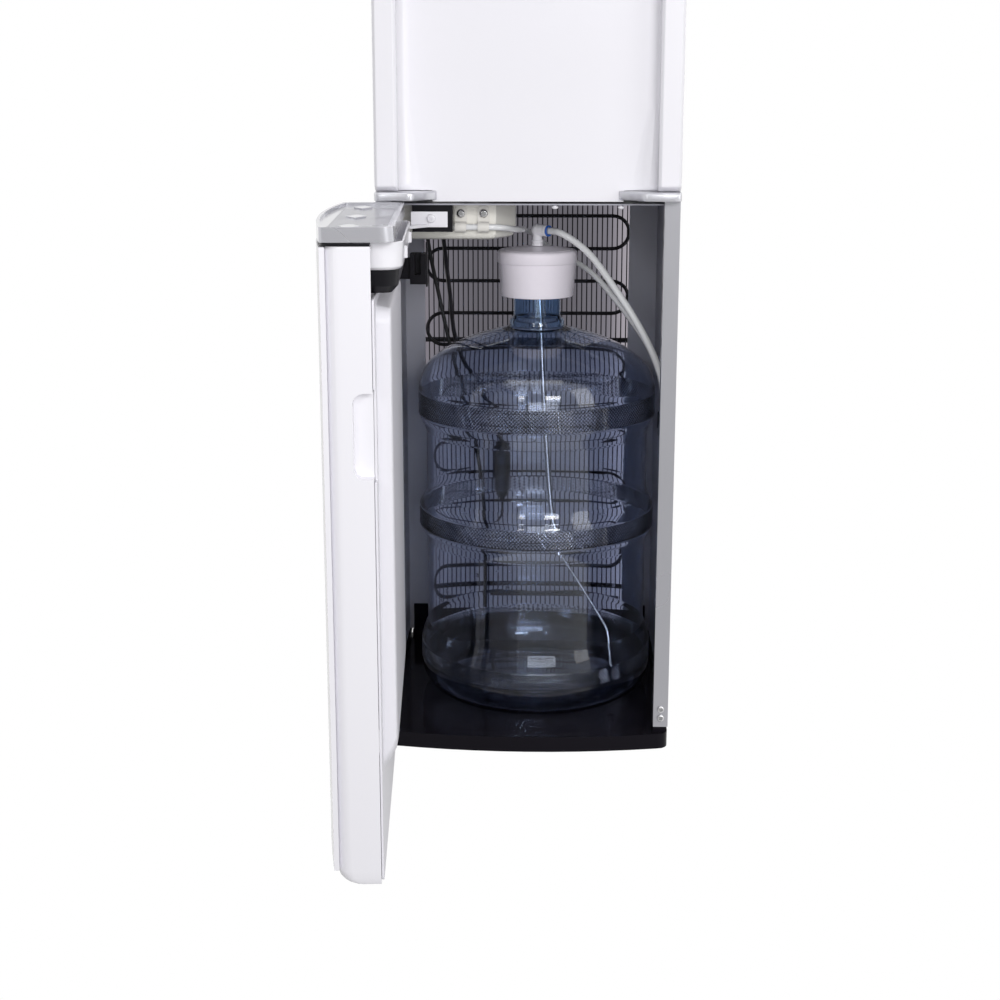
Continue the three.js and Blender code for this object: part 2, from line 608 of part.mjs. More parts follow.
const WIRE = 1.6;
const WIRE_Y = CONDENSER_Y + 2.5 + GAP;
const STRAP_ZS = [90, 400, 718];
function condenserWires() {
  const top = CONDENSER_BOTTOM_Z + (CONDENSER_RUNS - 1) * CONDENSER_PITCH + 14;
  const wires = Array.from({ length: WIRE_COUNT }, (_, i) => {
    const x = CONDENSER_LEFT + 2 + (i * (CONDENSER_RIGHT - CONDENSER_LEFT - 4)) / (WIRE_COUNT - 1);
    return block(x - WIRE / 2, WIRE_Y, CONDENSER_BOTTOM_Z - 43, x + WIRE / 2, WIRE_Y + WIRE, top);
  });
  const straps = STRAP_ZS.map((z) => block(-149, WIRE_Y + 1, z, 139, WIRE_Y + 2.6, z + 6));
  const posts = STRAP_ZS.flatMap((z) => [
    block(-149, REAR_Y + GAP, z, -143, WIRE_Y + 1.5, z + 6),
    block(133, REAR_Y + GAP, z, 139, WIRE_Y + 1.5, z + 6),
  ]);
  return join(...straps, ...wires, ...posts);
}

add('condenser_tube', condenserTube(), ENAMEL_BLACK);
add('condenser_wires', condenserWires(), ENAMEL_BLACK);

const DRIER_X = -35;
const DRIER_Y = 140;
function filterDrier() {
  const can = turned([[0, 202], [3.2, 202], [3.2, 207], [11, 216], [11, 272], [3.2, 281], [3.2, 292],
    [0, 292]], 14).translate(DRIER_X, DRIER_Y, 0);
  const pipe = tube([v3(DRIER_X, DRIER_Y, 290), v3(DRIER_X - 3, DRIER_Y, 305), v3(-60, 140, 345),
    v3(-90, 138, 400), v3(-99, 134, 470), v3(-106, 128, 540), v3(-108, 126, DECK_Z - GAP)], 2.6, 22);
  const tail = tube([v3(DRIER_X, DRIER_Y, 203), v3(DRIER_X, DRIER_Y, 190), v3(DRIER_X - 6, DRIER_Y + 3, 176),
    v3(DRIER_X - 12, DRIER_Y + 11, 168.2)], 1.6, 8, 6);
  return join(can, pipe, tail);
}
add('filter_drier', filterDrier(), ENAMEL_BLACK);

const CABLE_ROUTE = [v3(-127, 116, DECK_Z - GAP), v3(-126, 117, 560), v3(-122, 120, 520), v3(-111, 124, 463),
  v3(-98, 126, 401), v3(-84, 127, 340), v3(-66, 129, 270), v3(-58, 131, 200), v3(-56, 133, 120),
  v3(-56, 137, BASE_REAR_WALL_Z + 6)];
add('sensor_cable', tube(CABLE_ROUTE, 2.4, 34), MATT_BLACK);

// ---------------------------------------------------------------- pump, clips and water tubes
const PUMP_COVER_FRONT_Y = -108;
const CLIP_XS = [-71, -47];
const CLIP_TUBE_Y = PUMP_COVER_FRONT_Y - 6;
const CLIP_TUBE_Z = 565;
const CLIP_SCREW_Z = 579;
const PUMP_PORT_X = -115;
const FEED_RADIUS = 3.4;
const SUCTION_RADIUS = 4;

function pumpCover() {
  const plan = [v2(-150, PUMP_COVER_FRONT_Y), v2(-38, PUMP_COVER_FRONT_Y), v2(-34, -106), v2(-15, -68),
    v2(-14, -64), v2(-14, -40), v2(-150, -40)];
  const inner = [v2(-148, -106), v2(-39, -106), v2(-36, -104), v2(-17, -67), v2(-16, -63), v2(-16, -42),
    v2(-148, -42)];
  const drawn = (outline, inset) => outline.map((p) =>
    v2(THREE.MathUtils.lerp(p.x, -82, inset / 60), THREE.MathUtils.lerp(p.y, -74, inset / 34)));
  const body = loft([[551, 7], [553, 3], [557, 0.6], [562, 0], [DECK_Z - GAP, 0]].map(
    ([z, inset]) => atHeight(drawn(plan, inset), z)));
  const hollow = raise(inner, 558, DECK_Z + 1);
  const holes = CLIP_XS.map((x) => rodAlongY(x, CLIP_SCREW_Z, 2.4, -110, -104, 10));
  const port = rodAlongY(PUMP_PORT_X, CLIP_TUBE_Z, 5.2, -110, -104, 12);
  return cut(body, hollow, ...holes, port);
}

function waterPump() {
  const motor = new THREE.CylinderGeometry(13, 13, 58, 18).rotateZ(Math.PI / 2).translate(-76, -72, 574);
  const head = block(-126, -88, 559.5, -104, -56, 588);
  const port = rodAlongY(PUMP_PORT_X, CLIP_TUBE_Z, 3.4, -97, -86, 10);
  const foot = block(-104.5, -84, 558 + GAP, -60, -60, 563);
  return join(motor, head, port, foot);
}

/** A strap clip: a tab under the screw and a loop round the tube. */
function tubeClip(x) {
  const tab = slab(x - 6.5, CLIP_TUBE_Z, x + 6.5, CLIP_SCREW_Z + 8, 5.5, PUMP_COVER_FRONT_Y - 2.2,
    PUMP_COVER_FRONT_Y - GAP);
  const loop = new THREE.CylinderGeometry(5.6, 5.6, 12, 16).rotateZ(Math.PI / 2)
    .translate(x, CLIP_TUBE_Y, CLIP_TUBE_Z);
  const bore = new THREE.CylinderGeometry(FEED_RADIUS + 0.8, FEED_RADIUS + 0.8, 20, 12).rotateZ(Math.PI / 2)
    .translate(x, CLIP_TUBE_Y, CLIP_TUBE_Z);
  return cut(join(tab, loop), bore, rodAlongY(x, CLIP_SCREW_Z, 2.4, -112, -104, 10));
}

add('pump_cover', pumpCover(), CREAM);
add('water_pump', waterPump(), MATT_BLACK);
for (const [i, x] of CLIP_XS.entries()) {
  add(`tube_clip_${i + 1}`, tubeClip(x), finish(0xb9b7b2, 0.4, 0));
  const screw = add(`clip_screw_${i + 1}`, panScrew(4.6, 2.1, 7), STEEL);
  screw.position.set(x, PUMP_COVER_FRONT_Y - 2.2 - GAP, CLIP_SCREW_Z);
}

const UNION_X = 146.2;
const UNION_YS = [-123, -101];
const UNION_TOP_Z = 366;
const ELBOW_TURN = radians(-38); // plan direction of the elbow's arm
const ARM_END = v3(BOTTLE_X + 17 * Math.cos(ELBOW_TURN), BOTTLE_Y + 17 * Math.sin(ELBOW_TURN), 552.5);
const fromArm = (distance, drop = 0) => v3(ARM_END.x + distance * Math.cos(ELBOW_TURN),
  ARM_END.y + distance * Math.sin(ELBOW_TURN), ARM_END.z - drop);
const SUCTION_ROUTE = [fromArm(0.5), fromArm(7), fromArm(14, 1), v3(46, -24, 545), v3(66, -35, 530),
  v3(93, -58, 496), v3(119, -84, 458), v3(136, -106, 426), v3(144.6, -119, 400),
  v3(UNION_X, UNION_YS[0], 384), v3(UNION_X, UNION_YS[0], UNION_TOP_Z + GAP)];
const FEED_ROUTE = [v3(PUMP_PORT_X, -97 - GAP, CLIP_TUBE_Z), v3(PUMP_PORT_X, -102, CLIP_TUBE_Z),
  v3(PUMP_PORT_X, -107, CLIP_TUBE_Z), v3(-112.5, -112, CLIP_TUBE_Z),
  v3(-106, CLIP_TUBE_Y, CLIP_TUBE_Z), v3(-80, CLIP_TUBE_Y, CLIP_TUBE_Z),
  v3(-60, CLIP_TUBE_Y, CLIP_TUBE_Z), v3(-39, CLIP_TUBE_Y, CLIP_TUBE_Z), v3(-27, -109, 564),
  v3(-16, -90, 561), v3(-8, -62, 558), v3(-7, -30, 556), v3(-7, -2, 554), v3(-3, 22, 550),
  v3(6, 41, 544), v3(12, 53, 536), v3(24, 60, 527), v3(42, 54, 518), v3(58, 38, 510), v3(74, 16, 500),
  v3(94, -14, 480), v3(114, -44, 457), v3(131, -72, 433), v3(142, -92, 408),
  v3(UNION_X, UNION_YS[1], 386), v3(UNION_X, UNION_YS[1], UNION_TOP_Z + GAP)];

function tubeUnion() {
  const [front, back] = UNION_YS;
  const sockets = UNION_YS.map((y) => rod(UNION_X, y, 5.4, UNION_TOP_Z - 18, UNION_TOP_Z, 12));
  const bridge = block(UNION_X - 4.5, front - 4, UNION_TOP_Z - 26, UNION_X + 4.5, back + 4,
    UNION_TOP_Z - 14);
  const wallPad = block(UNION_X + 2, front + 6, UNION_TOP_Z - 24, 153.5, back - 6, UNION_TOP_Z - 4);
  return join(bridge, ...sockets, wallPad);
}

add('suction_tube', tube(SUCTION_ROUTE, SUCTION_RADIUS, 30, 10), TUBE_WHITE);
add('feed_tube', tube(FEED_ROUTE, FEED_RADIUS, 60, 6), TUBE_WHITE);
add('tube_union', tubeUnion(), MATT_BLACK);

// ---------------------------------------------------------------- bottle and its probe
function bottleGeometry() {
  const outer = [
    [0, 34], [70, 31.3], [98, 27.3], [106, 22.3], [113, 21.3], [120, 22.5], [128, 30], [133.5, 43],
    [134.5, 55], [134.5, 75], [131, 88], [127, 99], [127, 199], [130, 206], [135.5, 216], [135.5, 240],
    [130, 250], [127, 258], [127, 326], [130, 333], [135.5, 346], [135.5, 374], [132, 389.5], [125, 401.5],
    [112, 412.6], [94, 423.5], [66, 434.5], [40, 441.5], [31, 446], [31, 452], [NECK_RADIUS, 457],
    [NECK_RADIUS, 500], [28, 501], [28, 505.5],
  ];
  const inner = [
    [24.6, 505.5], [24.6, 455], [30, 441.8], [65, 432.4], [92.6, 421.5], [110.6, 410.8], [123.3, 400],
    [130.2, 388.5], [133.7, 373.6], [133.7, 346.6], [125.2, 327], [125.2, 257.2], [133.7, 239.6],
    [133.7, 216.8], [125.2, 199.6], [125.2, 99.6], [132.7, 75], [132.7, 55], [131.4, 43.6], [126.4, 31.4],
    [119, 24.8], [107.6, 24], [99, 29.4], [70, 33.6], [0, 36.4],
  ];
  return turned([...outer, ...inner], 32).translate(BOTTLE_X, BOTTLE_Y, 0);
}

function probeCap() {
  return turned([[0, 505.5 + GAP], [30, 505.5 + GAP], [30, 479.5], [41, 479.5], [43.4, 516.5], [45, 517],
    [45, 528.5], [43, 531], [22, 534], [0, 535]], 32).translate(BOTTLE_X, BOTTLE_Y, 0);
}

function probeElbow() {
  const barrel = turned([[0, 535.3], [6.6, 535.3], [6.6, 541], [5.6, 542], [5.6, 552], [0, 553]], 16)
    .translate(BOTTLE_X, BOTTLE_Y, 0);
  const knee = new THREE.SphereGeometry(7.2, 16, 10).translate(BOTTLE_X, BOTTLE_Y, 552.5);
  const arm = new THREE.CylinderGeometry(6.6, 6.6, 17, 16).rotateZ(Math.PI / 2).translate(8.5, 0, 0)
    .rotateZ(ELBOW_TURN).translate(BOTTLE_X, BOTTLE_Y, 552.5);
  return join(barrel, knee, arm);
}

const DIP_ROUTE = [v3(BOTTLE_X, BOTTLE_Y, 505.4), v3(12, -2, 473), v3(17, -3, 370), v3(29, -8, 215),
  v3(38, -16, 180)];
const TAIL_ROUTE = [v3(38.9, -16.8, 178.4), v3(63, -37, 146), v3(89, -58, 108), v3(95, -65, 86),
  v3(96, -68, 68), v3(96.3, -69, 58)];

function tailTube() {
  const hose = tube(TAIL_ROUTE, 2.7, 14);
  const strainer = turned([[0, 40], [6.5, 40], [7.5, 42], [7.5, 52], [5.5, 60], [0, 60]], 12);
  return join(hose, strainer.translate(96.3, -69, 0));
}

add('bottle', bottleGeometry(), { ...BOTTLE_BLUE, transparent: true, opacity: 0.35 });
add('probe_cap', probeCap(), CAP_WHITE);
add('probe_elbow', probeElbow(), COOL_WHITE);
add('dip_tube', tube(DIP_ROUTE, 3, 12), STEEL);
add('tail_tube', tailTube(), TUBE_WHITE);

// ---------------------------------------------------------------- hinges and door switch
const ARM_Z = 567;
const ARM_SCREW_Z = 576;
function hingeBlock() {
  const body = block(-120, -139, 562, -78, -120, DECK_Z - GAP);
  const recess = block(-114, -136, 558, -84, -123, 572);
  return cut(body, recess, rodAlongY(-100, ARM_SCREW_Z, 2.4, -141, -130, 10));
}


/** The bent arm: an upright flange on the block, a tongue to the axis and the pin under it. */
function hingeArm() {
  const flange = block(-121, -142, ARM_Z, -83, -139.3, 583);
  const { x, y } = DOOR_AXIS;
  const tongue = raise([v2(-101, -139.3), v2(-121, -139.3), v2(-136.5, -166), ...arc(x, y, 7, 145, 325, 8)],
    ARM_Z, ARM_Z + 3);
  const pin = rod(x, y, 2.2, 548, ARM_Z + 1, 12);
  return cut(join(flange, tongue, pin), rodAlongY(-100, ARM_SCREW_Z, 2.4, -144, -137, 10));
}

function lowerHinge() {
  const plate = block(-154, -197, BASE_TOP_Z + GAP, -139, -150, BASE_TOP_Z + GAP + 3);
  return join(plate, rod(DOOR_AXIS.x, DOOR_AXIS.y, 2.2, BASE_TOP_Z + 2, 50, 12));
}

/** A fixed, notched sensor on an arm from the left panel, with a steel strip beside it. */
function doorSwitch() {
  const body = cut(block(-124, -128, 506, -107, -108, 538), block(-119, -130, 516, -112.5, -117, 540));
  const arm = block(-153.5, -123, 511, -122, -113, 533);
  const strip = block(-107.5, -124, 503, -106, -112, 550);
  return join(body, arm, strip);
}

add('hinge_block', hingeBlock(), MATT_BLACK);
add('hinge_arm', hingeArm(), COOL_WHITE);
const armScrew = add('hinge_screw', panScrew(4.6, 2, 8), COOL_WHITE);
armScrew.position.set(-100, -142 - GAP, ARM_SCREW_Z);
add('lower_hinge', lowerHinge(), STEEL);
add('door_switch', doorSwitch(), MATT_BLACK);

// ---------------------------------------------------------------- door and drip tray
// Drawn closed about the hinge axis: x along the door, y from its bowed front to its back.
const door = new THREE.Group();
door.name = 'door';
door.position.set(DOOR_AXIS.x, DOOR_AXIS.y, 0);
door.rotation.z = -radians(DOOR_OPEN_DEG);
cooler.add(door);

/** Plan with a bowed front edge, rounded front corners and square or rounded back corners. */
function bowed(x0, x1, sideY, bulge, backY, frontCorner, backCorner = 0) {
  const a = x0 + frontCorner;
  const b = x1 - frontCorner;
  const middle = (x0 + x1) / 2;
  const frontY = (x) => sideY - bulge * (1 - ((x - middle) / (x1 - middle)) ** 2);
  const front = Array.from({ length: 13 }, (_, i) => a + ((b - a) * i) / 12).map((x) => v2(x, frontY(x)));
  const cornerY = frontY(b) + frontCorner;
  const back = backCorner > 0
    ? [...arc(x1 - backCorner, backY - backCorner, backCorner, 0, 90),
      ...arc(x0 + backCorner, backY - backCorner, backCorner, 90, 180)]
    : [v2(x1, backY), v2(x0, backY)];
  return [...front, ...arc(b, cornerY, frontCorner, -75, 0, 4), ...back,
    ...arc(a, cornerY, frontCorner, 180, 255, 4)];
}

const doorOutline = (frontInset, sideInset, backY) => bowed(DOOR_END_X + sideInset,
  DOOR_END_X + DOOR_LENGTH - sideInset, DOOR_BACK_Y - DOOR_DEPTH + frontInset, DOOR_BULGE, backY, 14);

/** A body through upright sections [y, outline in x and z], from front to back. */
const loftAlongY = (sections) => loft(sections.map(([y, outline]) => atHeight(outline, -y)).reverse())
  .rotateX(Math.PI / 2);

const TRAY_OPENING = [42, -34, 282]; // left, front and right edges in the door's top

/** The bowed skin on the front of the shell; its square ends stand proud of the corners. */
function doorSkin() {
  const half = DOOR_LENGTH / 2;
  const middle = DOOR_END_X + half;
  const bow = (back) => Array.from({ length: 15 }, (_, i) => {
    const t = (-1 + i / 7) * (1 - 0.5 / half);
    return v2(middle + t * half, DOOR_BACK_Y - DOOR_DEPTH - DOOR_BULGE * (1 - t * t) + back);
  });
  return raise([...bow(0), ...bow(DOOR_SKIN + 0.6).reverse()], DOOR_SKIN_BOTTOM_Z, DOOR_TOP_Z - 0.4);
}

function doorShell() {
  const layer = ([z, front, side], backY) =>
    atHeight(doorOutline(front + DOOR_SKIN, side, backY), z);
  const outer = loft([[DOOR_BOTTOM_Z, 10, 2], [10, 6, 1], [14, 2.4, 0.3], [21, 0, 0],
    [DOOR_TOP_Z - 2.5, 0, 0],
    [DOOR_TOP_Z, 2, 1]].map((section) => layer(section, DOOR_BACK_Y)));
  const pocket = loft([[11.5, 13, 5], [15, 6, 3.4], [22, 3, 3], [DOOR_TOP_Z - MOULDING, 3, 3]].map(
    (section) => layer(section, DOOR_BACK_Y + 6)));
  const bosses = [[30, 60], [545, 565]].map(([z0, z1]) => block(-3.5, -9, z0, 12, DOOR_BACK_Y, z1));
  const bores = [[28, 62], [543, 567]].map(([z0, z1]) => rod(0, 0, 2.6, z0, z1, 14));
  const notches = [block(-6, -12, 7, 16, 6, 30), block(-6, -12, 565, 16, 6, 582)];
  const [left, front, right] = TRAY_OPENING;
  const trayOpening = block(left, front, 570, right, 6, DOOR_TOP_Z + 1);
  const gripBlock = block(283, -15, 379, 297, DOOR_BACK_Y, 461);
  const grip = new THREE.ExtrudeGeometry(new THREE.Shape(roundedRectangle(-13, 383, 14, 457, 9)),
    { depth: 14, bevelEnabled: false }).applyMatrix4(PROFILE_ACROSS_X).translate(287, 0, 0);
  const walls = join(cut(outer, pocket), doorSkin(), ...bosses, gripBlock);
  return cut(walls, ...bores, ...notches, trayOpening, grip);
}

const FIELD_BOTTOM_Z = 104; // lower edge of the raised field on the door's inner side
/** The inner skin: a flat flange round a raised field that is hollow towards the shell. */
function doorLiner() {
  const y = DOOR_BACK_Y + GAP;
  const gripGap = block(286.7, y - 1, 380, 300, y + 4, 460);
  const flange = cut(slab(16, 11, 296.5, 536, 4, y, y + 2.2), gripGap);
  const field = (inset, radius, slope = 0) =>
    roundedRectangle(24 + inset, FIELD_BOTTOM_Z + inset + slope, 278 - inset, 528 - inset, radius, 4);
  const raised = loftAlongY([[y + 1, field(0, 16)], [y + 10, field(2, 15, 12)], [y + 14, field(3.5, 14, 18)],
    [y + 15.7, field(6.5, 12, 24)]]);
  const hollow = loftAlongY([[y - 1, field(2.2, 15, 1)], [y + 10, field(4.2, 13, 15)],
    [y + 13.5, field(7, 12, 22)]]);
  return cut(join(flange, raised), hollow);
}

/** A rounded plan rectangle drawn in by an inset, at a height. */
const pan = (x0, y0, x1, y1, radius, z, inset = 0) => atHeight(
  roundedRectangle(x0 + inset, y0 + inset, x1 - inset, y1 - inset, Math.max(radius - inset, 2)), z);

/** The black rim round the tray opening and the bowl that hangs under it. */
function trayCarrier() {
  const rim = cut(raise(doorOutline(1.5, 2, DOOR_BACK_Y - 0.5), DOOR_TOP_Z + GAP, 581.7),
    block(43, -27, 578, 283, 6, 583));
  const bowl = loft([pan(60, -31, 275, 27, 14, 538, 7), pan(60, -31, 275, 27, 14, 544, 1.5),
    pan(60, -31, 275, 27, 14, 557.7)]);
  const inside = loft([pan(60, -31, 275, 27, 14, 540.5, 9), pan(60, -31, 275, 27, 14, 546, 3.8),
    pan(60, -31, 275, 27, 14, 559, 2.2)]);
  const wall = block(74, -31, 550, 262, -28.6, 581);
  return join(cut(bowl, inside), wall, rim);
}

const trayOutline = (inset) => bowed(-3 + inset, 299 - inset, -37.5 + inset, DOOR_BULGE, 24 - inset,
  4 - inset / 2, 13 - inset / 2);
const TRAY_TOP_Z = 595.6;
const SLOT_COUNT = 24;
const MOTIF_XS = [45, 160, 268];
const MOTIF_Y = -15;

function dripGrille() {
  const body = cut(raise(trayOutline(0), 583, TRAY_TOP_Z), raise(trayOutline(3), 592.6, TRAY_TOP_Z + 1),
    raise(trayOutline(3), 581, 589.6));
  const slots = Array.from({ length: SLOT_COUNT }, (_, i) => {
    const x = 50 + (i * 227) / (SLOT_COUNT - 1);
    return block(x - 2.4, -34, 588, x + 2.4, 17, 594);
  });
  const motifs = MOTIF_XS.map((x) =>
    raise([v2(x - 20, MOTIF_Y), v2(x, MOTIF_Y - 9), v2(x + 20, MOTIF_Y), v2(x, MOTIF_Y + 9)], 590, 594.2));
  return join(cut(body, ...slots), ...motifs);
}

function dripBasin() {
  const outer = loft([pan(44, -25, 281, 31, 18, 558, 4), pan(44, -25, 281, 31, 18, 560.5, 1.2),
    pan(44, -25, 281, 31, 18, 581.6)]);
  const inside = loft([pan(44, -25, 281, 31, 18, 560.2, 6.2), pan(44, -25, 281, 31, 18, 563, 3.2),
    pan(44, -25, 281, 31, 18, 583, 2)]);
  const pegs = [92, 232].map((x) => block(x - 4, 30, 564, x + 4, 33, 574));
  return join(cut(outer, inside), ...pegs);
}

add('door_shell', doorShell(), COOL_WHITE, door);
add('door_liner', doorLiner(), LINER_WHITE, door);
add('tray_carrier', trayCarrier(), MATT_BLACK, door);
add('drip_grille', dripGrille(), SATIN_SILVER, door);
add('drip_basin', dripBasin(), COOL_WHITE, door);

export default cooler;
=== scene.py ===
# %% [markdown]
# # A bottom load water cooler, open for a new bottle
#
# This lesson dresses a floor-standing water cooler. Its lower door stands open, a blue five
# gallon bottle is in the bay, and a probe under a white cap draws the water up to the tanks. The
# imported model is the frame: its nodes are already in place, in metres, and every piece made here
# sits where the frame says. All but the two lengths of the suction tube ride on one of its bodies,
# so that the door, the tray, the bottle and the buttons can still move.

# %% Load the frame
import json
import math
import bpy
import bmesh
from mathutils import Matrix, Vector


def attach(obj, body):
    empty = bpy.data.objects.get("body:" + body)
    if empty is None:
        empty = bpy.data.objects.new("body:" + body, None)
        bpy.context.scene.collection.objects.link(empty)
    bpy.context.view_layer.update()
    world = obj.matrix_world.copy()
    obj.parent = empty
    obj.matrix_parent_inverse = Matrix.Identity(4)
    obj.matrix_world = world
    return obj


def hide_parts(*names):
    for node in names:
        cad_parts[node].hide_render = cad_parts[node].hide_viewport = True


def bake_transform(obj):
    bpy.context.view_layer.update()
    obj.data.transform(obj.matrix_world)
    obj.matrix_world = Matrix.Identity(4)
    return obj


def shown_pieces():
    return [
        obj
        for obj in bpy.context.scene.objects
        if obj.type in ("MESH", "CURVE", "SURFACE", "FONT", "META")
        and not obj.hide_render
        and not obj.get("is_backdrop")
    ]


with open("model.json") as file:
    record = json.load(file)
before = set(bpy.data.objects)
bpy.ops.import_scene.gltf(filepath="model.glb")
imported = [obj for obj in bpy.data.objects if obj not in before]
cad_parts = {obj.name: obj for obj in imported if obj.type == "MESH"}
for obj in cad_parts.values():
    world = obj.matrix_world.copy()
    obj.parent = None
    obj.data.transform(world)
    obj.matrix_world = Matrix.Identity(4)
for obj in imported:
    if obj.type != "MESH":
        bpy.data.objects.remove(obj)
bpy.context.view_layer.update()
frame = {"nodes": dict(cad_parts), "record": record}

# %% [markdown]
# ## Camera
#
# The cooler is seen from 1.76 m in front and from 0.70 m above the floor, a little from above and
# a hair from the right. A lens of 56 mm gives the perspective in which the open door reaches down
# below the base. The small vertical shift only frames the subject.

# %% Camera
camera_data = bpy.data.cameras.new("camera")
camera = bpy.data.objects.new("camera", camera_data)
bpy.context.scene.collection.objects.link(camera)
camera_data.sensor_width = 36
camera_data.lens = 56.16
camera_data.shift_y = -0.05
camera.location = (0.0202, -1.764, 0.701)
camera.rotation_euler = (math.radians(77.16), 0, math.radians(1.73))
bpy.context.scene.camera = camera
bpy.context.scene.view_settings.view_transform = "Standard"
print("camera", tuple(round(v, 3) for v in camera.location), "lens", camera_data.lens)

# %% [markdown]
# ## Working by hand
#
# Most of Blender's operators act on whatever is selected, so each step begins by clearing the
# selection and taking up one object. At the end of a piece its place is applied to the mesh: the
# object then sits at the origin, as the nodes of the frame do, and a pattern on Object
# coordinates keeps its size. Sizes below are in millimetres, and `MM` turns them into Blender's
# metres.

# %% Selection and placing helpers
MM = 0.001


def link_in(thing):
    """Puts a new object in the scene."""
    bpy.context.scene.collection.objects.link(thing)
    return thing


def take_up(piece):
    """Selects one object alone and makes it active."""
    bpy.ops.object.select_all(action="DESELECT")
    piece.select_set(True)
    bpy.context.view_layer.objects.active = piece
    return piece


def apply_place():
    """Applies the place, turn and scale of what is selected to its mesh."""
    bpy.ops.object.transform_apply(location=True, rotation=True, scale=True)


def settle(piece, smooth=35.0):
    """Applies the place to the mesh, turns the faces outwards and smooths the gentle angles."""
    take_up(piece)
    apply_place()
    bpy.ops.object.mode_set(mode="EDIT")
    bpy.ops.mesh.select_all(action="SELECT")
    bpy.ops.mesh.remove_doubles(threshold=1e-6)
    bpy.ops.mesh.normals_make_consistent(inside=False)
    bpy.ops.object.mode_set(mode="OBJECT")
    bpy.ops.object.shade_smooth_by_angle(angle=math.radians(smooth))
    return piece


def ease_edges(piece, width, angle=35.0, segments=2):
    """Rounds the hard edges of a piece with an applied Bevel modifier; width in millimetres."""
    take_up(piece)
    bevel = piece.modifiers.new("eased edges", "BEVEL")
    bevel.width = width * MM
    bevel.segments = segments
    bevel.limit_method = "ANGLE"
    bevel.angle_limit = math.radians(angle)
    bpy.ops.object.modifier_apply(modifier=bevel.name)
    return piece


def count(piece):
    """Triangles in a piece's mesh."""
    return sum(len(face.vertices) - 2 for face in piece.data.polygons)


print("helpers ready: link_in, take_up, apply_place, settle, ease_edges, count")

# %% [markdown]
# ## Shader nodes in one line
#
# A finish is a small network of nodes. One helper adds a node and fills its inputs: an input that
# is given another node's output is linked to it, and one that is given a number or a colour is
# set.

# %% Helpers for shader nodes
def set_inputs(tree, node, inputs):
    """Links or sets a node's inputs, by name or by position."""
    for label, value in inputs.items():
        if isinstance(value, bpy.types.NodeSocket):
            tree.links.new(value, node.inputs[label])
        else:
            node.inputs[label].default_value = value
    return node


def add_node(tree, kind, inputs=None, **settings):
    """A new shader node with its settings and its inputs."""
    node = tree.nodes.new("ShaderNode" + kind)
    for label, value in settings.items():
        setattr(node, label, value)
    return set_inputs(tree, node, inputs or {})


def number(tree, operation, *values):
    """A Math node with outputs or plain numbers as inputs; returns its output."""
    node = add_node(tree, "Math", dict(enumerate(values)), operation=operation)
    return node.outputs["Value"]


def map_range(tree, value, low, high, to_low=0.0):
    """Maps a value from low..high to to_low..1; returns the output."""
    node = add_node(tree, "MapRange", {"Value": value, "From Min": low, "From Max": high,
                                       "To Min": to_low})
    return node.outputs["Result"]


def mixed(tree, factor, a, b, blend="MIX"):
    """Mixes colour b into colour a; returns the output."""
    node = add_node(tree, "Mix", data_type="RGBA", blend_type=blend)
    set_inputs(tree, node, {"Factor": factor, "A": a, "B": b})
    return node.outputs["Result"]


def bumped(tree, height, strength, distance, normal=None):
    """A Bump node, laid over another normal if one is given; returns its normal."""
    inputs = {"Height": height, "Strength": strength, "Distance": distance}
    if normal is not None:
        inputs["Normal"] = normal
    return add_node(tree, "Bump", inputs).outputs["Normal"]


def new_material(name):
    """A material; returns it, its node tree and its Principled shader."""
    material = bpy.data.materials.new(name)
    material.use_nodes = True
    return material, material.node_tree, material.node_tree.nodes["Principled BSDF"]


print("helpers ready: add_node, number, map_range, mixed, bumped, new_material")

# %% [markdown]
# ## The studio
#
# The cooler stands on a pale floor that sweeps up into a pale wall, so that no horizon line
# crosses the picture. The sweep starts as one plane: its far edge is extruded upwards and the
# fold is bevelled into a large radius. The sheet is one-sided: its back is see-through, so a
# camera that walks behind the cooler still looks at it. Its colour is lighter for the camera
# alone, which gives a near-white background with the shadow of the cooler still on the floor.

# %% Sweep of the backdrop
FAR_EDGE, WALL_HEIGHT, FOLD_RADIUS = 2.0, 4.0, 1.1
bpy.ops.object.select_all(action="DESELECT")
bpy.ops.mesh.primitive_plane_add(size=2, location=(0, 0, 0))
backdrop = bpy.context.object
backdrop.name = "backdrop"
backdrop.scale = (5.0, 3.6, 1.0)
backdrop.location = (0, -1.4, 0)
take_up(backdrop)
apply_place()
bpy.ops.object.mode_set(mode="EDIT")
sweep = bmesh.from_edit_mesh(backdrop.data)


def select_far(highest):
    """Selects the sweep's far edges up to a height."""
    for edge in sweep.edges:
        edge.select_set(all(v.co.y > FAR_EDGE and v.co.z < highest for v in edge.verts))
    sweep.select_flush(True)
    bmesh.update_edit_mesh(backdrop.data)


select_far(WALL_HEIGHT)
bpy.ops.mesh.extrude_region_move(TRANSFORM_OT_translate={"value": (0, 0, WALL_HEIGHT)})
select_far(0.01)
bpy.ops.mesh.bevel(offset=FOLD_RADIUS, segments=24, profile=0.5)
bpy.ops.object.mode_set(mode="OBJECT")
bpy.ops.object.shade_smooth_by_angle(angle=math.radians(40))
backdrop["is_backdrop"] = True
print("backdrop faces", len(backdrop.data.polygons))


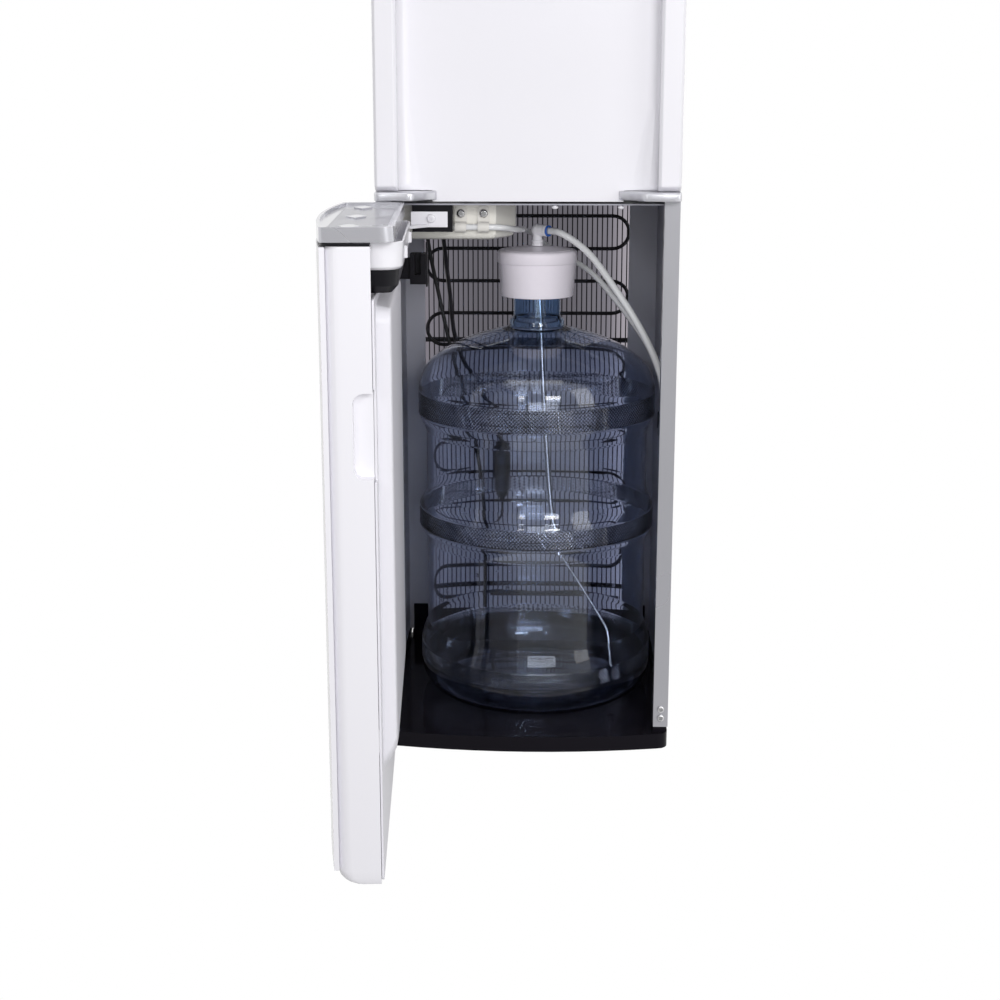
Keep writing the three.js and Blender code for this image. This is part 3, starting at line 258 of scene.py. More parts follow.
# %% One-sided paper for the studio
def studio_paper(name, seen, lit):
    """A matt paper: 'seen' is its grey for the camera, 'lit' its grey for all other light."""
    paper, tree = new_material(name)[:2]
    tree.nodes.clear()
    path = add_node(tree, "LightPath")
    tone = mixed(tree, path.outputs["Is Camera Ray"], (lit, lit, lit, 1), (seen, seen, seen, 1))
    fibre = add_node(tree, "TexNoise", {"Scale": 60})
    bump = add_node(tree, "Bump", {"Strength": 0.02, "Height": fibre.outputs["Fac"]})
    matt = add_node(tree, "BsdfDiffuse", {"Color": tone, "Normal": bump.outputs["Normal"]})
    clear = add_node(tree, "BsdfTransparent")
    side = add_node(tree, "NewGeometry")
    mix = add_node(tree, "MixShader", {"Fac": side.outputs["Backfacing"], 1: matt.outputs["BSDF"],
                                       2: clear.outputs["BSDF"]})
    add_node(tree, "OutputMaterial", {"Surface": mix.outputs["Shader"]})
    return paper, tree, path, matt, mix


backdrop.data.materials.append(studio_paper("white paper", 0.97, 0.55)[0])
print("paper on the sweep")

# %% [markdown]
# A grey card stands close behind the condenser as painted shade. In the bay one looks between the
# condenser's wires, and what is seen there is the dim space between a cooler and its wall. The
# card paints that shade without darkening the studio: looked at directly, in a mirror or through
# the bottle it glows with its own grey, painted a little lighter towards its sides, and its back
# is see-through.

# %% Painted shade card behind the condenser
CARD_LEFT, CARD_RIGHT = -0.130, 0.121
bpy.ops.object.select_all(action="DESELECT")
bpy.ops.mesh.primitive_plane_add(size=2, location=(-0.005, 0.169, 0.318),
                                 rotation=(math.radians(90), 0, 0))
card = bpy.context.object
card.name = "painted_shade_card"
card.scale = (0.128, 0.276, 1)
take_up(card)
apply_place()
painted_shade_paper, tree, path, matt, mix = studio_paper("painted shade card", 0.02, 0.4)
where = add_node(tree, "TexCoord")
spot = add_node(tree, "SeparateXYZ", {"Vector": where.outputs["Object"]})
across = map_range(tree, spot.outputs["X"], CARD_LEFT, CARD_RIGHT)
# Painted shade: a grey ramp across the card, darker in the middle and lighter towards its sides.
shade = add_node(tree, "ValToRGB", {"Fac": across})
shade.color_ramp.elements[0].color = (0.21, 0.195, 0.225, 1)
shade.color_ramp.elements[1].color = (0.40, 0.37, 0.41, 1)
for stop, grey in ((0.10, 0.155), (0.25, 0.130), (0.75, 0.135), (0.90, 0.20)):
    mark = shade.color_ramp.elements.new(stop)
    mark.color = (grey, grey * 0.95, grey * 1.1, 1)
looked_at = number(tree, "MAXIMUM", path.outputs["Is Camera Ray"],
                   path.outputs["Is Transmission Ray"])
reach = number(tree, "MAXIMUM", looked_at, path.outputs["Is Glossy Ray"])
# Painted shade: the card glows with that grey for camera, transmission and glossy rays.
glow = add_node(tree, "Emission", {"Color": shade.outputs["Color"], "Strength": reach})
both = add_node(tree, "AddShader", {0: matt.outputs["BSDF"], 1: glow.outputs["Emission"]})
set_inputs(tree, mix, {1: both.outputs["Shader"]})
card.data.materials.append(painted_shade_paper)
card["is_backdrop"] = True
print("card faces", [round(v, 2) for v in card.data.polygons[0].normal])

# %% [markdown]
# The light is that of a product studio: a large soft box high on the right, a weaker one on the
# left, one overhead, and a wide low one in front that reaches into the bay. Two small bright
# boxes beside the camera draw the white dashes on the bottle's rings. Two boxes far out at the
# sides light the back. The world is white where the camera looks or looks through a pane, and dim
# as a light. In a mirror it is white at the sides and dark behind the camera, as a studio is, so
# black mouldings stay black and silver has light edges.

# %% Soft boxes and world
WORLD_LIGHT, WORLD_BEHIND_CAMERA = 0.24, 0.42


def soft_box(name, place, aim, width, height, watts, mirrored=True):
    """An area lamp at a place that faces an aim point; a mirrored one shows in glossy surfaces."""
    lamp = bpy.data.lights.new(name, "AREA")
    lamp.shape = "RECTANGLE"
    lamp.size, lamp.size_y = width, height
    lamp.energy = watts
    stand = link_in(bpy.data.objects.new(name, lamp))
    stand.location = place
    stand.visible_glossy = mirrored
    stand.rotation_euler = (Vector(aim) - Vector(place)).to_track_quat("-Z", "Y").to_euler()
    return stand


soft_box("key box", (1.8, -1.5, 1.3), (-0.1, -0.1, 0.45), 1.0, 1.7, 12)
soft_box("fill box", (-1.9, -1.5, 1.3), (-0.1, -0.2, 0.5), 1.0, 1.7, 1.2)
soft_box("top box", (0.0, -0.5, 2.7), (0, -0.1, 0.6), 1.6, 1.2, 9)
soft_box("front box", (0.4, -3.4, 0.8), (0, 0, 0.4), 1.7, 1.3, 45, mirrored=False)
soft_box("bright box right", (0.60, -2.02, 1.2), (0.02, 0, 0.4), 0.52, 0.30, 8.0)
soft_box("bright box left", (-0.62, -2.0, 1.2), (0.02, 0, 0.4), 0.46, 0.30, 4.0)
soft_box("rear box right", (2.3, 1.2, 1.3), (0, 0.1, 0.5), 1.0, 1.6, 9)
soft_box("rear box left", (-2.3, 1.2, 1.3), (0, 0.1, 0.5), 1.0, 1.6, 9)

world = bpy.data.worlds.new("studio")
world.use_nodes = True
air = world.node_tree
path = add_node(air, "LightPath")
either = number(air, "MAXIMUM", path.outputs["Is Camera Ray"], path.outputs["Is Transmission Ray"])
way = add_node(air, "TexCoord")
parts = add_node(air, "SeparateXYZ", {"Vector": way.outputs["Generated"]})
sides = map_range(air, parts.outputs["Y"], -0.97, -0.45, WORLD_BEHIND_CAMERA)
in_mirrors = number(air, "MULTIPLY", sides, path.outputs["Is Glossy Ray"])
strength = number(air, "MAXIMUM", number(air, "MAXIMUM", either, in_mirrors), WORLD_LIGHT)
set_inputs(air, air.nodes["Background"], {"Color": (1, 1, 1, 1), "Strength": strength})
bpy.context.scene.world = world

# %% [markdown]
# ## Effects that several finishes share
#
# No real surface is one flat colour. A few effects come back in many finishes, so each is a node
# group with named sockets that is placed in every material with its own values:
#
# - **tone drift** lets a colour wander slowly towards a second one, as paint and plastic do;
# - **fine relief** is the orange peel of paint or the spark-eroded grain of a mould;
# - **settled dust** finds faces that look up and breaks them up, for a duller, paler film;
# - **upright streaks** are the drawn-out lines of brushed or rolled metal.

# %% A small helper for node groups
FLOAT, COLOUR = "NodeSocketFloat", "NodeSocketColor"


def effect(name, inputs, outputs):
    """An empty node group with named sockets; returns it, its inputs, its end and a place."""
    group = bpy.data.node_groups.new(name, "ShaderNodeTree")
    for label, kind, value in inputs:
        socket = group.interface.new_socket(label, in_out="INPUT", socket_type=kind)
        socket.default_value = value
    for label, kind in outputs:
        group.interface.new_socket(label, in_out="OUTPUT", socket_type=kind)
    enter = group.nodes.new("NodeGroupInput")
    leave = group.nodes.new("NodeGroupOutput")
    place = add_node(group, "TexCoord")
    return group, enter.outputs, leave, place.outputs["Object"]


print("effect() makes a group with an input, an output and a Texture Coordinate node")

# %% Tone drift
tone_drift, enter, leave, place = effect(
    "tone drift",
    [("Colour", COLOUR, (0.8, 0.8, 0.8, 1)), ("Second Colour", COLOUR, (0.7, 0.7, 0.7, 1)),
     ("Scale", FLOAT, 4.0), ("Amount", FLOAT, 0.5)],
    [("Colour", COLOUR)])
cloud = add_node(tone_drift, "TexNoise", {"Vector": place, "Scale": enter["Scale"], "Detail": 3.0})
amount = number(tone_drift, "MULTIPLY", cloud.outputs["Fac"], enter["Amount"])
drifted = mixed(tone_drift, amount, enter["Colour"], enter["Second Colour"])
set_inputs(tone_drift, leave, {"Colour": drifted})
print("tone drift:", len(tone_drift.nodes), "nodes")

# %% Fine relief
fine_relief, enter, leave, place = effect(
    "fine relief",
    [("Scale", FLOAT, 900.0), ("Roughness", FLOAT, 0.35), ("Spread", FLOAT, 0.06)],
    [("Height", FLOAT), ("Roughness", FLOAT)])
grain = add_node(fine_relief, "TexNoise",
                 {"Vector": place, "Scale": enter["Scale"], "Detail": 2.0})
patches = add_node(fine_relief, "TexNoise", {"Vector": place, "Scale": 9.0})
centred = number(fine_relief, "SUBTRACT", patches.outputs["Fac"], 0.5)
spread = number(fine_relief, "MULTIPLY_ADD", centred, enter["Spread"], enter["Roughness"])
set_inputs(fine_relief, leave, {"Height": grain.outputs["Fac"], "Roughness": spread})
print("fine relief:", len(fine_relief.nodes), "nodes")

# %% Settled dust
settled_dust, enter, leave, place = effect(
    "settled dust",
    [("Scale", FLOAT, 40.0), ("Amount", FLOAT, 0.3)],
    [("Mask", FLOAT)])
facing = add_node(settled_dust, "NewGeometry")
split = add_node(settled_dust, "SeparateXYZ", {"Vector": facing.outputs["Normal"]})
upward = map_range(settled_dust, split.outputs["Z"], 0.6, 1.0)
specks = add_node(settled_dust, "TexNoise",
                  {"Vector": place, "Scale": enter["Scale"], "Detail": 5.0})
worn = map_range(settled_dust, specks.outputs["Fac"], 0.45, 0.7)
both = number(settled_dust, "MULTIPLY", upward, worn)
film = number(settled_dust, "MULTIPLY", both, enter["Amount"])
set_inputs(settled_dust, leave, {"Mask": film})
print("settled dust:", len(settled_dust.nodes), "nodes")

# %% Upright streaks
upright_streaks, enter, leave, place = effect(
    "upright streaks",
    [("Across", FLOAT, 1200.0), ("Along", FLOAT, 12.0)],
    [("Height", FLOAT)])
stretch = add_node(upright_streaks, "CombineXYZ", {"X": enter["Across"], "Y": enter["Across"],
                                                   "Z": enter["Along"]})
squeeze = add_node(upright_streaks, "VectorMath", {0: place, 1: stretch.outputs["Vector"]},
                   operation="MULTIPLY")
lines = add_node(upright_streaks, "TexNoise", {"Vector": squeeze.outputs["Vector"], "Scale": 1.0,
                                               "Detail": 2.0})
set_inputs(upright_streaks, leave, {"Height": lines.outputs["Fac"]})
print("upright streaks:", len(upright_streaks.nodes), "nodes")

# %% [markdown]
# ## Finishes
#
# Every finish is a Principled shader with the same spine: tone drift feeds the colour, fine
# relief feeds the roughness and a bump. Plain numbers, such as metalness or coat, are set on
# the shader's own sockets.

# %% The spine of a finish
DUST_COLOUR = (0.42, 0.40, 0.38, 1)
finishes = {}


def place_group(tree, group, **values):
    """Puts a node group in a material and sets its inputs by name; returns its outputs."""
    node = tree.nodes.new("ShaderNodeGroup")
    node.node_tree = group
    set_inputs(tree, node, {label.replace("_", " "): value for label, value in values.items()})
    return node.outputs


def finish(slot, colour, second, roughness, metallic=0.0, relief=(900.0, 0.04, 0.00005),
           drift=(4.0, 0.6), spread=0.06, coat=0.0, coat_roughness=0.05, dust=0.0, gloss_level=0.5):
    """A material for one slot of the record; relief is (scale, bump strength, bump depth in m)."""
    material, tree, shader = new_material(slot.replace("_", " "))
    shader.inputs["Metallic"].default_value = metallic
    shader.inputs["Coat Weight"].default_value = coat
    shader.inputs["Coat Roughness"].default_value = coat_roughness
    shader.inputs["Specular IOR Level"].default_value = gloss_level
    tone = place_group(tree, tone_drift, Colour=(*colour, 1), Second_Colour=(*second, 1),
                       Scale=drift[0], Amount=drift[1])["Colour"]
    peel = place_group(tree, fine_relief, Scale=relief[0], Roughness=roughness, Spread=spread)
    rough = peel["Roughness"]
    normal = bumped(tree, peel["Height"], relief[1], relief[2])
    if dust:
        film = place_group(tree, settled_dust, Amount=dust)["Mask"]
        tone = mixed(tree, film, tone, DUST_COLOUR)
        rough = number(tree, "ADD", rough, film)
    set_inputs(tree, shader, {"Base Color": tone, "Roughness": rough, "Normal": normal})
    finishes[slot] = material
    return tree, shader, normal


print("finish() ready")

# %% [markdown]
# ### White mouldings and white paint
#
# The head, the front of the alcove and the door are glossy white plastic with a slightly cool
# tint. The door's inner skin and the probe's cap are satin. Their relief is shallow, just enough
# to break up the edge of a reflection.

# %% White plastics
finish("cool_white", (0.83, 0.82, 0.865), (0.82, 0.81, 0.857), 0.27, relief=(700.0, 0.05, 0.00004),
       drift=(260.0, 0.5), spread=0.012, coat=0.35, coat_roughness=0.08)
finish("liner_white", (0.77, 0.76, 0.81), (0.75, 0.74, 0.79), 0.42, relief=(1400.0, 0.12, 0.00005),
       drift=(260.0, 0.5), spread=0.02)
finish("cap_white", (0.90, 0.85, 0.92), (0.86, 0.81, 0.89), 0.34, relief=(1600.0, 0.10, 0.00005),
       drift=(180.0, 0.5), spread=0.03, coat=0.25, coat_roughness=0.12)
finish("clip_plastic", (0.76, 0.74, 0.70), (0.70, 0.68, 0.65), 0.36, relief=(1500.0, 0.12, 0.00005))
finish("cream_plastic", (0.82, 0.80, 0.75),
       (0.77, 0.75, 0.69), 0.45, relief=(1100.0, 0.22, 0.00008))
finish("foam", (0.74, 0.71, 0.62), (0.62, 0.58, 0.48), 0.85, relief=(260.0, 0.8, 0.0006),
       drift=(22.0, 0.9))
print("white and cream finishes:", len(finishes))

# %% [markdown]
# ### Silver, paint and steel
#
# The pillars, the collar and the drip tray are plastic with silver paint, whose tiny flakes each
# lean their own way: the cells of a Voronoi texture feed a bump, so the flakes glint. The sheet
# steel is grey paint with the same flakes, and the screws and the dip tube are drawn steel with
# upright streaks.

# %% Silver paint
def flakes(tree, shader, normal, scale, depth):
    """Adds glinting flakes: each cell of a texture tilts the surface its own way."""
    place = add_node(tree, "TexCoord")
    cells = add_node(tree, "TexVoronoi", {"Vector": place.outputs["Object"], "Scale": scale})
    tilt = bumped(tree, cells.outputs["Color"], 0.25, depth, normal)
    set_inputs(tree, shader, {"Normal": tilt})


flakes(*finish("satin_silver", (0.58, 0.58, 0.62), (0.53, 0.53, 0.57), 0.28, metallic=0.7,
               relief=(800.0, 0.06, 0.00004), coat=0.6, coat_roughness=0.06),
       scale=2600.0, depth=0.00002)
flakes(*finish("panel_paint", (0.40, 0.40, 0.45), (0.34, 0.34, 0.39), 0.42, metallic=0.1,
               relief=(520.0, 0.12, 0.00008)), scale=2200.0, depth=0.00002)
print("silver and paint with flakes")

# %% Bright steel
tree, shader, normal = finish("steel", (0.68, 0.68, 0.69), (0.58, 0.58, 0.59), 0.22, metallic=1.0,
                              relief=(900.0, 0.05, 0.00004), drift=(40.0, 0.8))
streaks = place_group(tree, upright_streaks, Across=2600.0, Along=40.0)
set_inputs(tree, shader, {"Normal": bumped(tree, streaks["Height"], 0.2, 0.00004, normal)})
print("drawn steel")

# %% [markdown]
# ### Black parts, rubber and coloured plastic
#
# The base is a glossy black moulding that mirrors the bottle, with a trace of dust. The condenser
# is black enamel on steel, a little lumpy. Rubber is dull and grainy.

# %% Blacks and colours
finish("gloss_black", (0.006, 0.005, 0.008), (0.010, 0.009, 0.013), 0.10,
       relief=(300.0, 0.02, 0.00004), dust=0.01, gloss_level=0.10)
finish("matt_black", (0.006, 0.006, 0.008), (0.012, 0.011, 0.014), 0.34,
       relief=(1300.0, 0.2, 0.00006), gloss_level=0.2)
finish("black_enamel", (0.016, 0.015, 0.018), (0.035, 0.033, 0.037), 0.30,
       relief=(420.0, 0.2, 0.0001), drift=(30.0, 0.8))
finish("cable_black", (0.018, 0.018, 0.019), (0.030, 0.030, 0.031), 0.55,
       relief=(900.0, 0.3, 0.0001))
finish("rubber", (0.022, 0.022, 0.023), (0.038, 0.037, 0.037), 0.80,
       relief=(1500.0, 0.5, 0.0001), dust=0.3)
finish("red_plastic", (0.52, 0.030, 0.030), (0.44, 0.024, 0.026), 0.26,
       relief=(900.0, 0.06, 0.00004), coat=0.4)
finish("blue_plastic", (0.035, 0.13, 0.50), (0.028, 0.105, 0.43), 0.26,
       relief=(900.0, 0.06, 0.00004), coat=0.4)
print("finishes so far:", sorted(finishes))

# %% [markdown]
# ### Tube and bottle
#
# The water tubes are milky soft plastic with a wet shine. The bottle is clear blue polycarbonate:
# the shader refracts, its wall has a real thickness, and the tint is light, because one looks
# through four surfaces at once. Its three bands carry a diamond knurl, which is modelled further
# down. The grooves between the diamonds carry painted shade, a darker tint that stands in for the
# light the knurl scatters: the angle round the bottle's axis and the height are crossed into two
# sets of slanting lines, which only the bands' heights let through. This painted shade is
# strongest on the half that faces the door and fades to a quarter on the far half. Drops of
# condensation are small cells in the bump.

# %% Milky tube
finish("tube_white", (0.78, 0.785, 0.80), (0.70, 0.705, 0.725), 0.22, relief=(500.0, 0.08, 0.00006),
       coat=0.8, coat_roughness=0.04)
print("tube finish")

# %% Clear blue bottle
BOTTLE_AXIS = (0.009, -0.002)
KNURL_BANDS = [(0.0575, 0.0735), (0.2175, 0.2385), (0.3475, 0.3725)]
DIAMOND_HEIGHT = 0.0040     # metres, as are the axis, the bands and the skin
OUTER_SKIN = 0.1341
DIAMONDS_ROUND = 212
NECK_TINT = (0.45, 0.60, 0.80, 1)

clear_blue, tree, shader = new_material("bottle blue")
shader.inputs["Metallic"].default_value = 0.0
shader.inputs["Transmission Weight"].default_value = 1.0
shader.inputs["IOR"].default_value = 1.45
place = add_node(tree, "TexCoord")
centre = add_node(tree, "Mapping", {"Vector": place.outputs["Object"],
                                    "Location": (-BOTTLE_AXIS[0], -BOTTLE_AXIS[1], 0)})
split = add_node(tree, "SeparateXYZ", {"Vector": centre.outputs["Vector"]})
x, y, z = (split.outputs[axis] for axis in "XYZ")
around = number(tree, "MULTIPLY", number(tree, "ARCTAN2", y, x), DIAMONDS_ROUND / 2)
along = number(tree, "MULTIPLY", z, math.pi / DIAMOND_HEIGHT)
across = number(tree, "SQRT", number(tree, "ADD", number(tree, "MULTIPLY", x, x),
                                     number(tree, "MULTIPLY", y, y)))
ridge_a = number(tree, "SINE", number(tree, "ADD", around, along))
ridge_b = number(tree, "SINE", number(tree, "SUBTRACT", around, along))
diamonds = number(tree, "ABSOLUTE", number(tree, "MULTIPLY", ridge_a, ridge_b))
groove_shade_mask = None
for low, high in KNURL_BANDS:
    inside = number(tree, "COMPARE", z, (low + high) / 2, (high - low) / 2)
    groove_shade_mask = inside if groove_shade_mask is None else number(tree, "ADD", groove_shade_mask, inside)
groove_shade_mask = number(tree, "MULTIPLY", groove_shade_mask, number(tree, "GREATER_THAN", across, OUTER_SKIN))
# Painted shade: the grooves' darkening fades to a quarter on the half away from the door.
groove_shade_mask = number(tree, "MULTIPLY", groove_shade_mask, map_range(tree, y, 0.03, -0.03, 0.25))
drops = add_node(tree, "TexVoronoi", {"Vector": place.outputs["Object"], "Scale": 42})
bead = map_range(tree, drops.outputs["Distance"], 0.10, 0.03)
wavy = place_group(tree, fine_relief, Scale=9.0, Roughness=0.02, Spread=0.02)
wave = bumped(tree, wavy["Height"], 0.25, 0.0007)
tone = place_group(tree, tone_drift, Colour=(0.72, 0.78, 0.90, 1),
                   Second_Colour=(0.66, 0.73, 0.88, 1), Scale=5.0, Amount=0.7)["Colour"]
deeper = mixed(tree, map_range(tree, z, 0.425, 0.455), tone, NECK_TINT)
# Painted shade: the grooves between the diamonds darken the base colour.
grooves = map_range(tree, diamonds, 0.08, 0.6, 0.16)
groove_shade = add_node(tree, "CombineColor", {"Red": grooves, "Green": grooves, "Blue": grooves})
set_inputs(tree, shader, {
    "Base Color": mixed(tree, groove_shade_mask, deeper, groove_shade.outputs["Color"], "MULTIPLY"),
    "Roughness": wavy["Roughness"],
    "Normal": bumped(tree, bead, 0.9, 0.00016, wave)})
finishes["bottle_blue"] = clear_blue
print("bottle finish:", len(tree.nodes), "nodes")


# %% Giving a piece its finish
def give_finish(piece, slot):
    """Puts the finish of a slot on a piece."""
    piece.data.materials.clear()
    piece.data.materials.append(finishes[slot])
    return piece


print("finishes to give:", len(finishes))

# %% [markdown]
# ## Nodes of the frame that keep their shape
#
# Sheet steel has sharp, straight edges and plain planes, so these nodes are right as they are.
# They keep their meshes and only change their finish.

# %% New finishes on the plain nodes
slot_of = {part["node"]: part["material_slot"] for part in frame["record"]["subparts"]}


def dress(node):
    """Puts the finish of its slot on a node of the frame."""
    mesh = frame["nodes"][node].data
    mesh.materials.clear()
    mesh.materials.append(finishes[slot_of[node]])


for node in sorted(frame["nodes"]):
    dress(node)
print("dressed", len(frame["nodes"]), "nodes")

# %% [markdown]
# ## Mouldings with eased edges
#
# A moulded or cast part never has a razor edge: a small radius catches a line of light, and that
# line is what makes it look solid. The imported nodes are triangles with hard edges. For each
# moulding a copy of its mesh is welded, flat triangles are merged back into faces, and a bevel of
# a few tenths of a millimetre eases the hard edges. The copy stands for the node, whose mesh
# stays as it is. Turned and lofted shapes get smooth shading from the same step.

# %% A moulding from a node
bodies_of = {node: body for body, group in frame["record"]["behaviour"]["bodies"].items()
             for node in group}


def moulding(node, title, edge, smooth=35.0, weld=0.02, merge=True):
    """A welded, bevelled and smoothed copy of a node that stands for it; sizes in millimetres."""
    piece = take_up(link_in(bpy.data.objects.new(title, frame["nodes"][node].data.copy())))
    bpy.ops.mesh.customdata_custom_splitnormals_clear()
    bpy.ops.object.mode_set(mode="EDIT")
    bpy.ops.mesh.select_all(action="SELECT")
    bpy.ops.mesh.remove_doubles(threshold=weld * MM)
    if merge:
        bpy.ops.mesh.dissolve_limited(angle_limit=math.radians(1.0))
    bpy.ops.object.mode_set(mode="OBJECT")
    if edge:
        ease_edges(piece, edge)
    bpy.ops.object.shade_smooth_by_angle(angle=math.radians(smooth))
    even = piece.modifiers.new("even shading", "WEIGHTED_NORMAL")
    even.keep_sharp = True
    bpy.ops.object.modifier_apply(modifier=even.name)
    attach(piece, bodies_of[node])
    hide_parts(node)
    return piece


def mouldings(*rows):
    """One moulding for each row of (node, title, width of its eased edges in millimetres)."""
    for node, title, edge in rows:
        piece = moulding(node, title, edge)
        print(f"{title}: {count(piece)} triangles, rides on {bodies_of[node]}")


# %% [markdown]
# ### Base, pillars and upper front
#
# The black base, the two silver pillars, the silver collar with its ears, the white alcove, the
# head and its cover. The larger the part, the larger its radius.

# %% Fixed mouldings
mouldings(
    ("base_tray", "base_moulding", 0.7), ("pillar_left", "pillar_left_moulding", 0.5),
    ("pillar_right", "pillar_right_moulding", 0.5), ("collar", "collar_moulding", 0.6),
    ("alcove_fascia", "alcove_moulding", 0.8), ("head_housing", "head_moulding", 0.8),
    ("top_cover", "cover_moulding", 0.8), ("control_panel", "panel_board", 0.4))

# %% [markdown]
# ### Spouts, buttons and switches
#
# The small parts that a hand touches have generous radii for their size.

# %% Small controls
mouldings(
    ("spout_cold", "spout_cold_moulding", 0.3), ("spout_room", "spout_room_moulding", 0.3),
    ("spout_hot", "spout_hot_moulding", 0.3), ("button_cold", "button_cold_cap", 1.0),
    ("button_room", "button_room_cap", 1.0), ("button_hot", "button_hot_cap", 1.0),
    ("child_lock", "lock_slider", 0.7), ("rocker_heating", "heating_rocker_cap", 0.4),
    ("rocker_cooling", "cooling_rocker_cap", 0.4))

# %% [markdown]
# ### Door, drip tray and what holds them
#
# The door is a bowed shell with a recessed grip and a raised inner skin. The tray's holder, its
# basin and its silver grille sit in the door's top. The grille's slots are thin, so its radius is
# small, and its slotted floor keeps its triangles, because one face can't go round twenty-four
# holes.

# %% Door and tray
mouldings(
    ("door_shell", "door_moulding", 0.6), ("door_liner", "door_inner_skin", 0.8),
    ("tray_carrier", "tray_holder", 0.5), ("drip_basin", "basin_moulding", 0.7))
grille = moulding("drip_grille", "grille_moulding", 0.25, merge=False)
print("grille", count(grille), "triangles")

# %% [markdown]
# ### Machinery and fittings
#
# The compressor, tanks and drier are turned shapes, which need smooth shading more than a bevel.
# The pump's cover, the clips, the hinge parts and the tube's union are small mouldings.

# %% Fittings and machinery
mouldings(
    ("pump_cover", "pump_cover_moulding", 0.6), ("water_pump", "pump_body", 0.4),
    ("tube_clip_1", "clip_left", 0.3), ("tube_clip_2", "clip_right", 0.3),
    ("tube_union", "union_moulding", 0.5), ("hinge_block", "hinge_block_moulding", 0.5),
    ("hinge_arm", "hinge_bracket", 0.3), ("door_switch", "switch_body", 0.35),
    ("compressor", "compressor_can", 0), ("hot_tank", "hot_tank_can", 0),
    ("cold_tank", "cold_tank_jacket", 0), ("filter_drier", "drier_and_pipe", 0),
    ("mains_inlet", "inlet_moulding", 0.4), ("foot_front_left", "foot_1", 0.3),
    ("foot_front_right", "foot_2", 0.3), ("foot_rear_left", "foot_3", 0.3),
    ("foot_rear_right", "foot_4", 0.3))

# %% [markdown]
# ## Tubes and cables
#
# A tube follows a smooth curve through a few points. The same kind of curve that laid out the
# frame, a centripetal Catmull-Rom, is sampled here finely and becomes a curve object with a round
# section. Converted to a mesh, it is a closed tube with end caps. The milky and the steel tubes
# have eight sides, which smooth shading rounds; the black ones are thin and have six.

# %% Curve through points
def smooth_route(points, steps):
    """Points of a centripetal Catmull-Rom curve through 'points', 'steps' between each pair."""
    marks = [Vector(p) * MM for p in points]
    marks = [marks[0] * 2 - marks[1]] + marks + [marks[-1] * 2 - marks[-2]]
    line = []
    for a, b, c, d in zip(marks, marks[1:], marks[2:], marks[3:]):
        t0, t1 = 0.0, (b - a).length ** 0.5
        t2 = t1 + (c - b).length ** 0.5
        t3 = t2 + (d - c).length ** 0.5
        for step in range(steps):
            t = t1 + (t2 - t1) * step / steps
            p = a * ((t1 - t) / (t1 - t0)) + b * ((t - t0) / (t1 - t0))
            q = b * ((t2 - t) / (t2 - t1)) + c * ((t - t1) / (t2 - t1))
            r = c * ((t3 - t) / (t3 - t2)) + d * ((t - t2) / (t3 - t2))
            pq = p * ((t2 - t) / (t2 - t0)) + q * ((t - t0) / (t2 - t0))
            qr = q * ((t3 - t) / (t3 - t1)) + r * ((t - t1) / (t3 - t1))
            line.append(pq * ((t2 - t) / (t2 - t1)) + qr * ((t - t1) / (t2 - t1)))
    return line + [marks[-2]]


def tube_along(title, line, radius, slot, resolution=2):
    """A closed round tube along a list of points in metres; radius in millimetres."""
    curve = bpy.data.curves.new(title, "CURVE")
    curve.dimensions = "3D"
    curve.bevel_depth = radius * MM
    curve.bevel_resolution = resolution
    curve.use_fill_caps = True
    spline = curve.splines.new("POLY")
    spline.points.add(len(line) - 1)
    for point, place in zip(spline.points, line):
        point.co = (*place, 1)
    take_up(link_in(bpy.data.objects.new(title, curve)))
    bpy.ops.object.convert(target="MESH")
    tube = give_finish(settle(bpy.context.object, 50), slot)
    return tube


print("a straight pair of points gives", len(smooth_route([(0, 0, 0), (10, 0, 0)], 4)), "points")

# %% [markdown]
# ### Feed tube and sensor cable
#
# The feed tube leaves the pump, runs through the two clips, passes behind the probe's cap and
# comes down to the union on the right wall. The black sensor cable hangs down the left of the
# condenser. Both are fixed to the cabinet.

# %% Feed tube and cable
# Radii and places in millimetres. The union's numbers are its x, the y of the suction tube's
# port, the y of the feed tube's port, and the height of both.
FEED_RADIUS, CABLE_RADIUS = 3.35, 2.35
UNION = (146.2, -123, -101, 366.3)
FEED_POINTS = [
    (-115, -97.3, 565), (-115, -102, 565), (-115, -107, 565), (-112.5, -112, 565),
    (-106, -114, 565), (-80, -114, 565), (-60, -114, 565), (-39, -114, 565), (-27, -109, 564),
    (-16, -90, 561), (-8, -62, 558), (-7, -30, 556), (-7, -2, 554), (-3, 22, 550), (6, 41, 544),
    (12, 53, 536), (24, 60, 527), (42, 54, 518), (58, 38, 510), (74, 16, 500), (94, -14, 480),
    (114, -44, 457), (131, -72, 433), (142, -92, 408), (UNION[0], UNION[2], 386),
    (UNION[0], UNION[2], UNION[3])]
feed = tube_along("feed_tube_run", smooth_route(FEED_POINTS, 6), FEED_RADIUS, "tube_white")
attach(feed, "cabinet")
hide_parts("feed_tube")

CABLE_POINTS = [
    (-127, 116, 589.7), (-126, 117, 560), (-122, 120, 520), (-111, 124, 463), (-98, 126, 401),
    (-84, 127, 340), (-66, 129, 270), (-58, 131, 200), (-56, 133, 120), (-56, 137, 68)]
cable = tube_along("sensor_cable_run", smooth_route(CABLE_POINTS, 8), CABLE_RADIUS,
                   "cable_black", 1)
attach(cable, "cabinet")
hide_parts("sensor_cable")
print("feed tube", count(feed), "triangles; cable", count(cable))

# %% [markdown]
# ### Suction tube
#
# The suction tube runs from the elbow on the cap to the union, so its two ends are on different
# bodies: the probe, which lifts a little on the bottle, and the cabinet. It is made in two
# lengths that meet where the tube follows the bottle. Neither length is attached to a body.

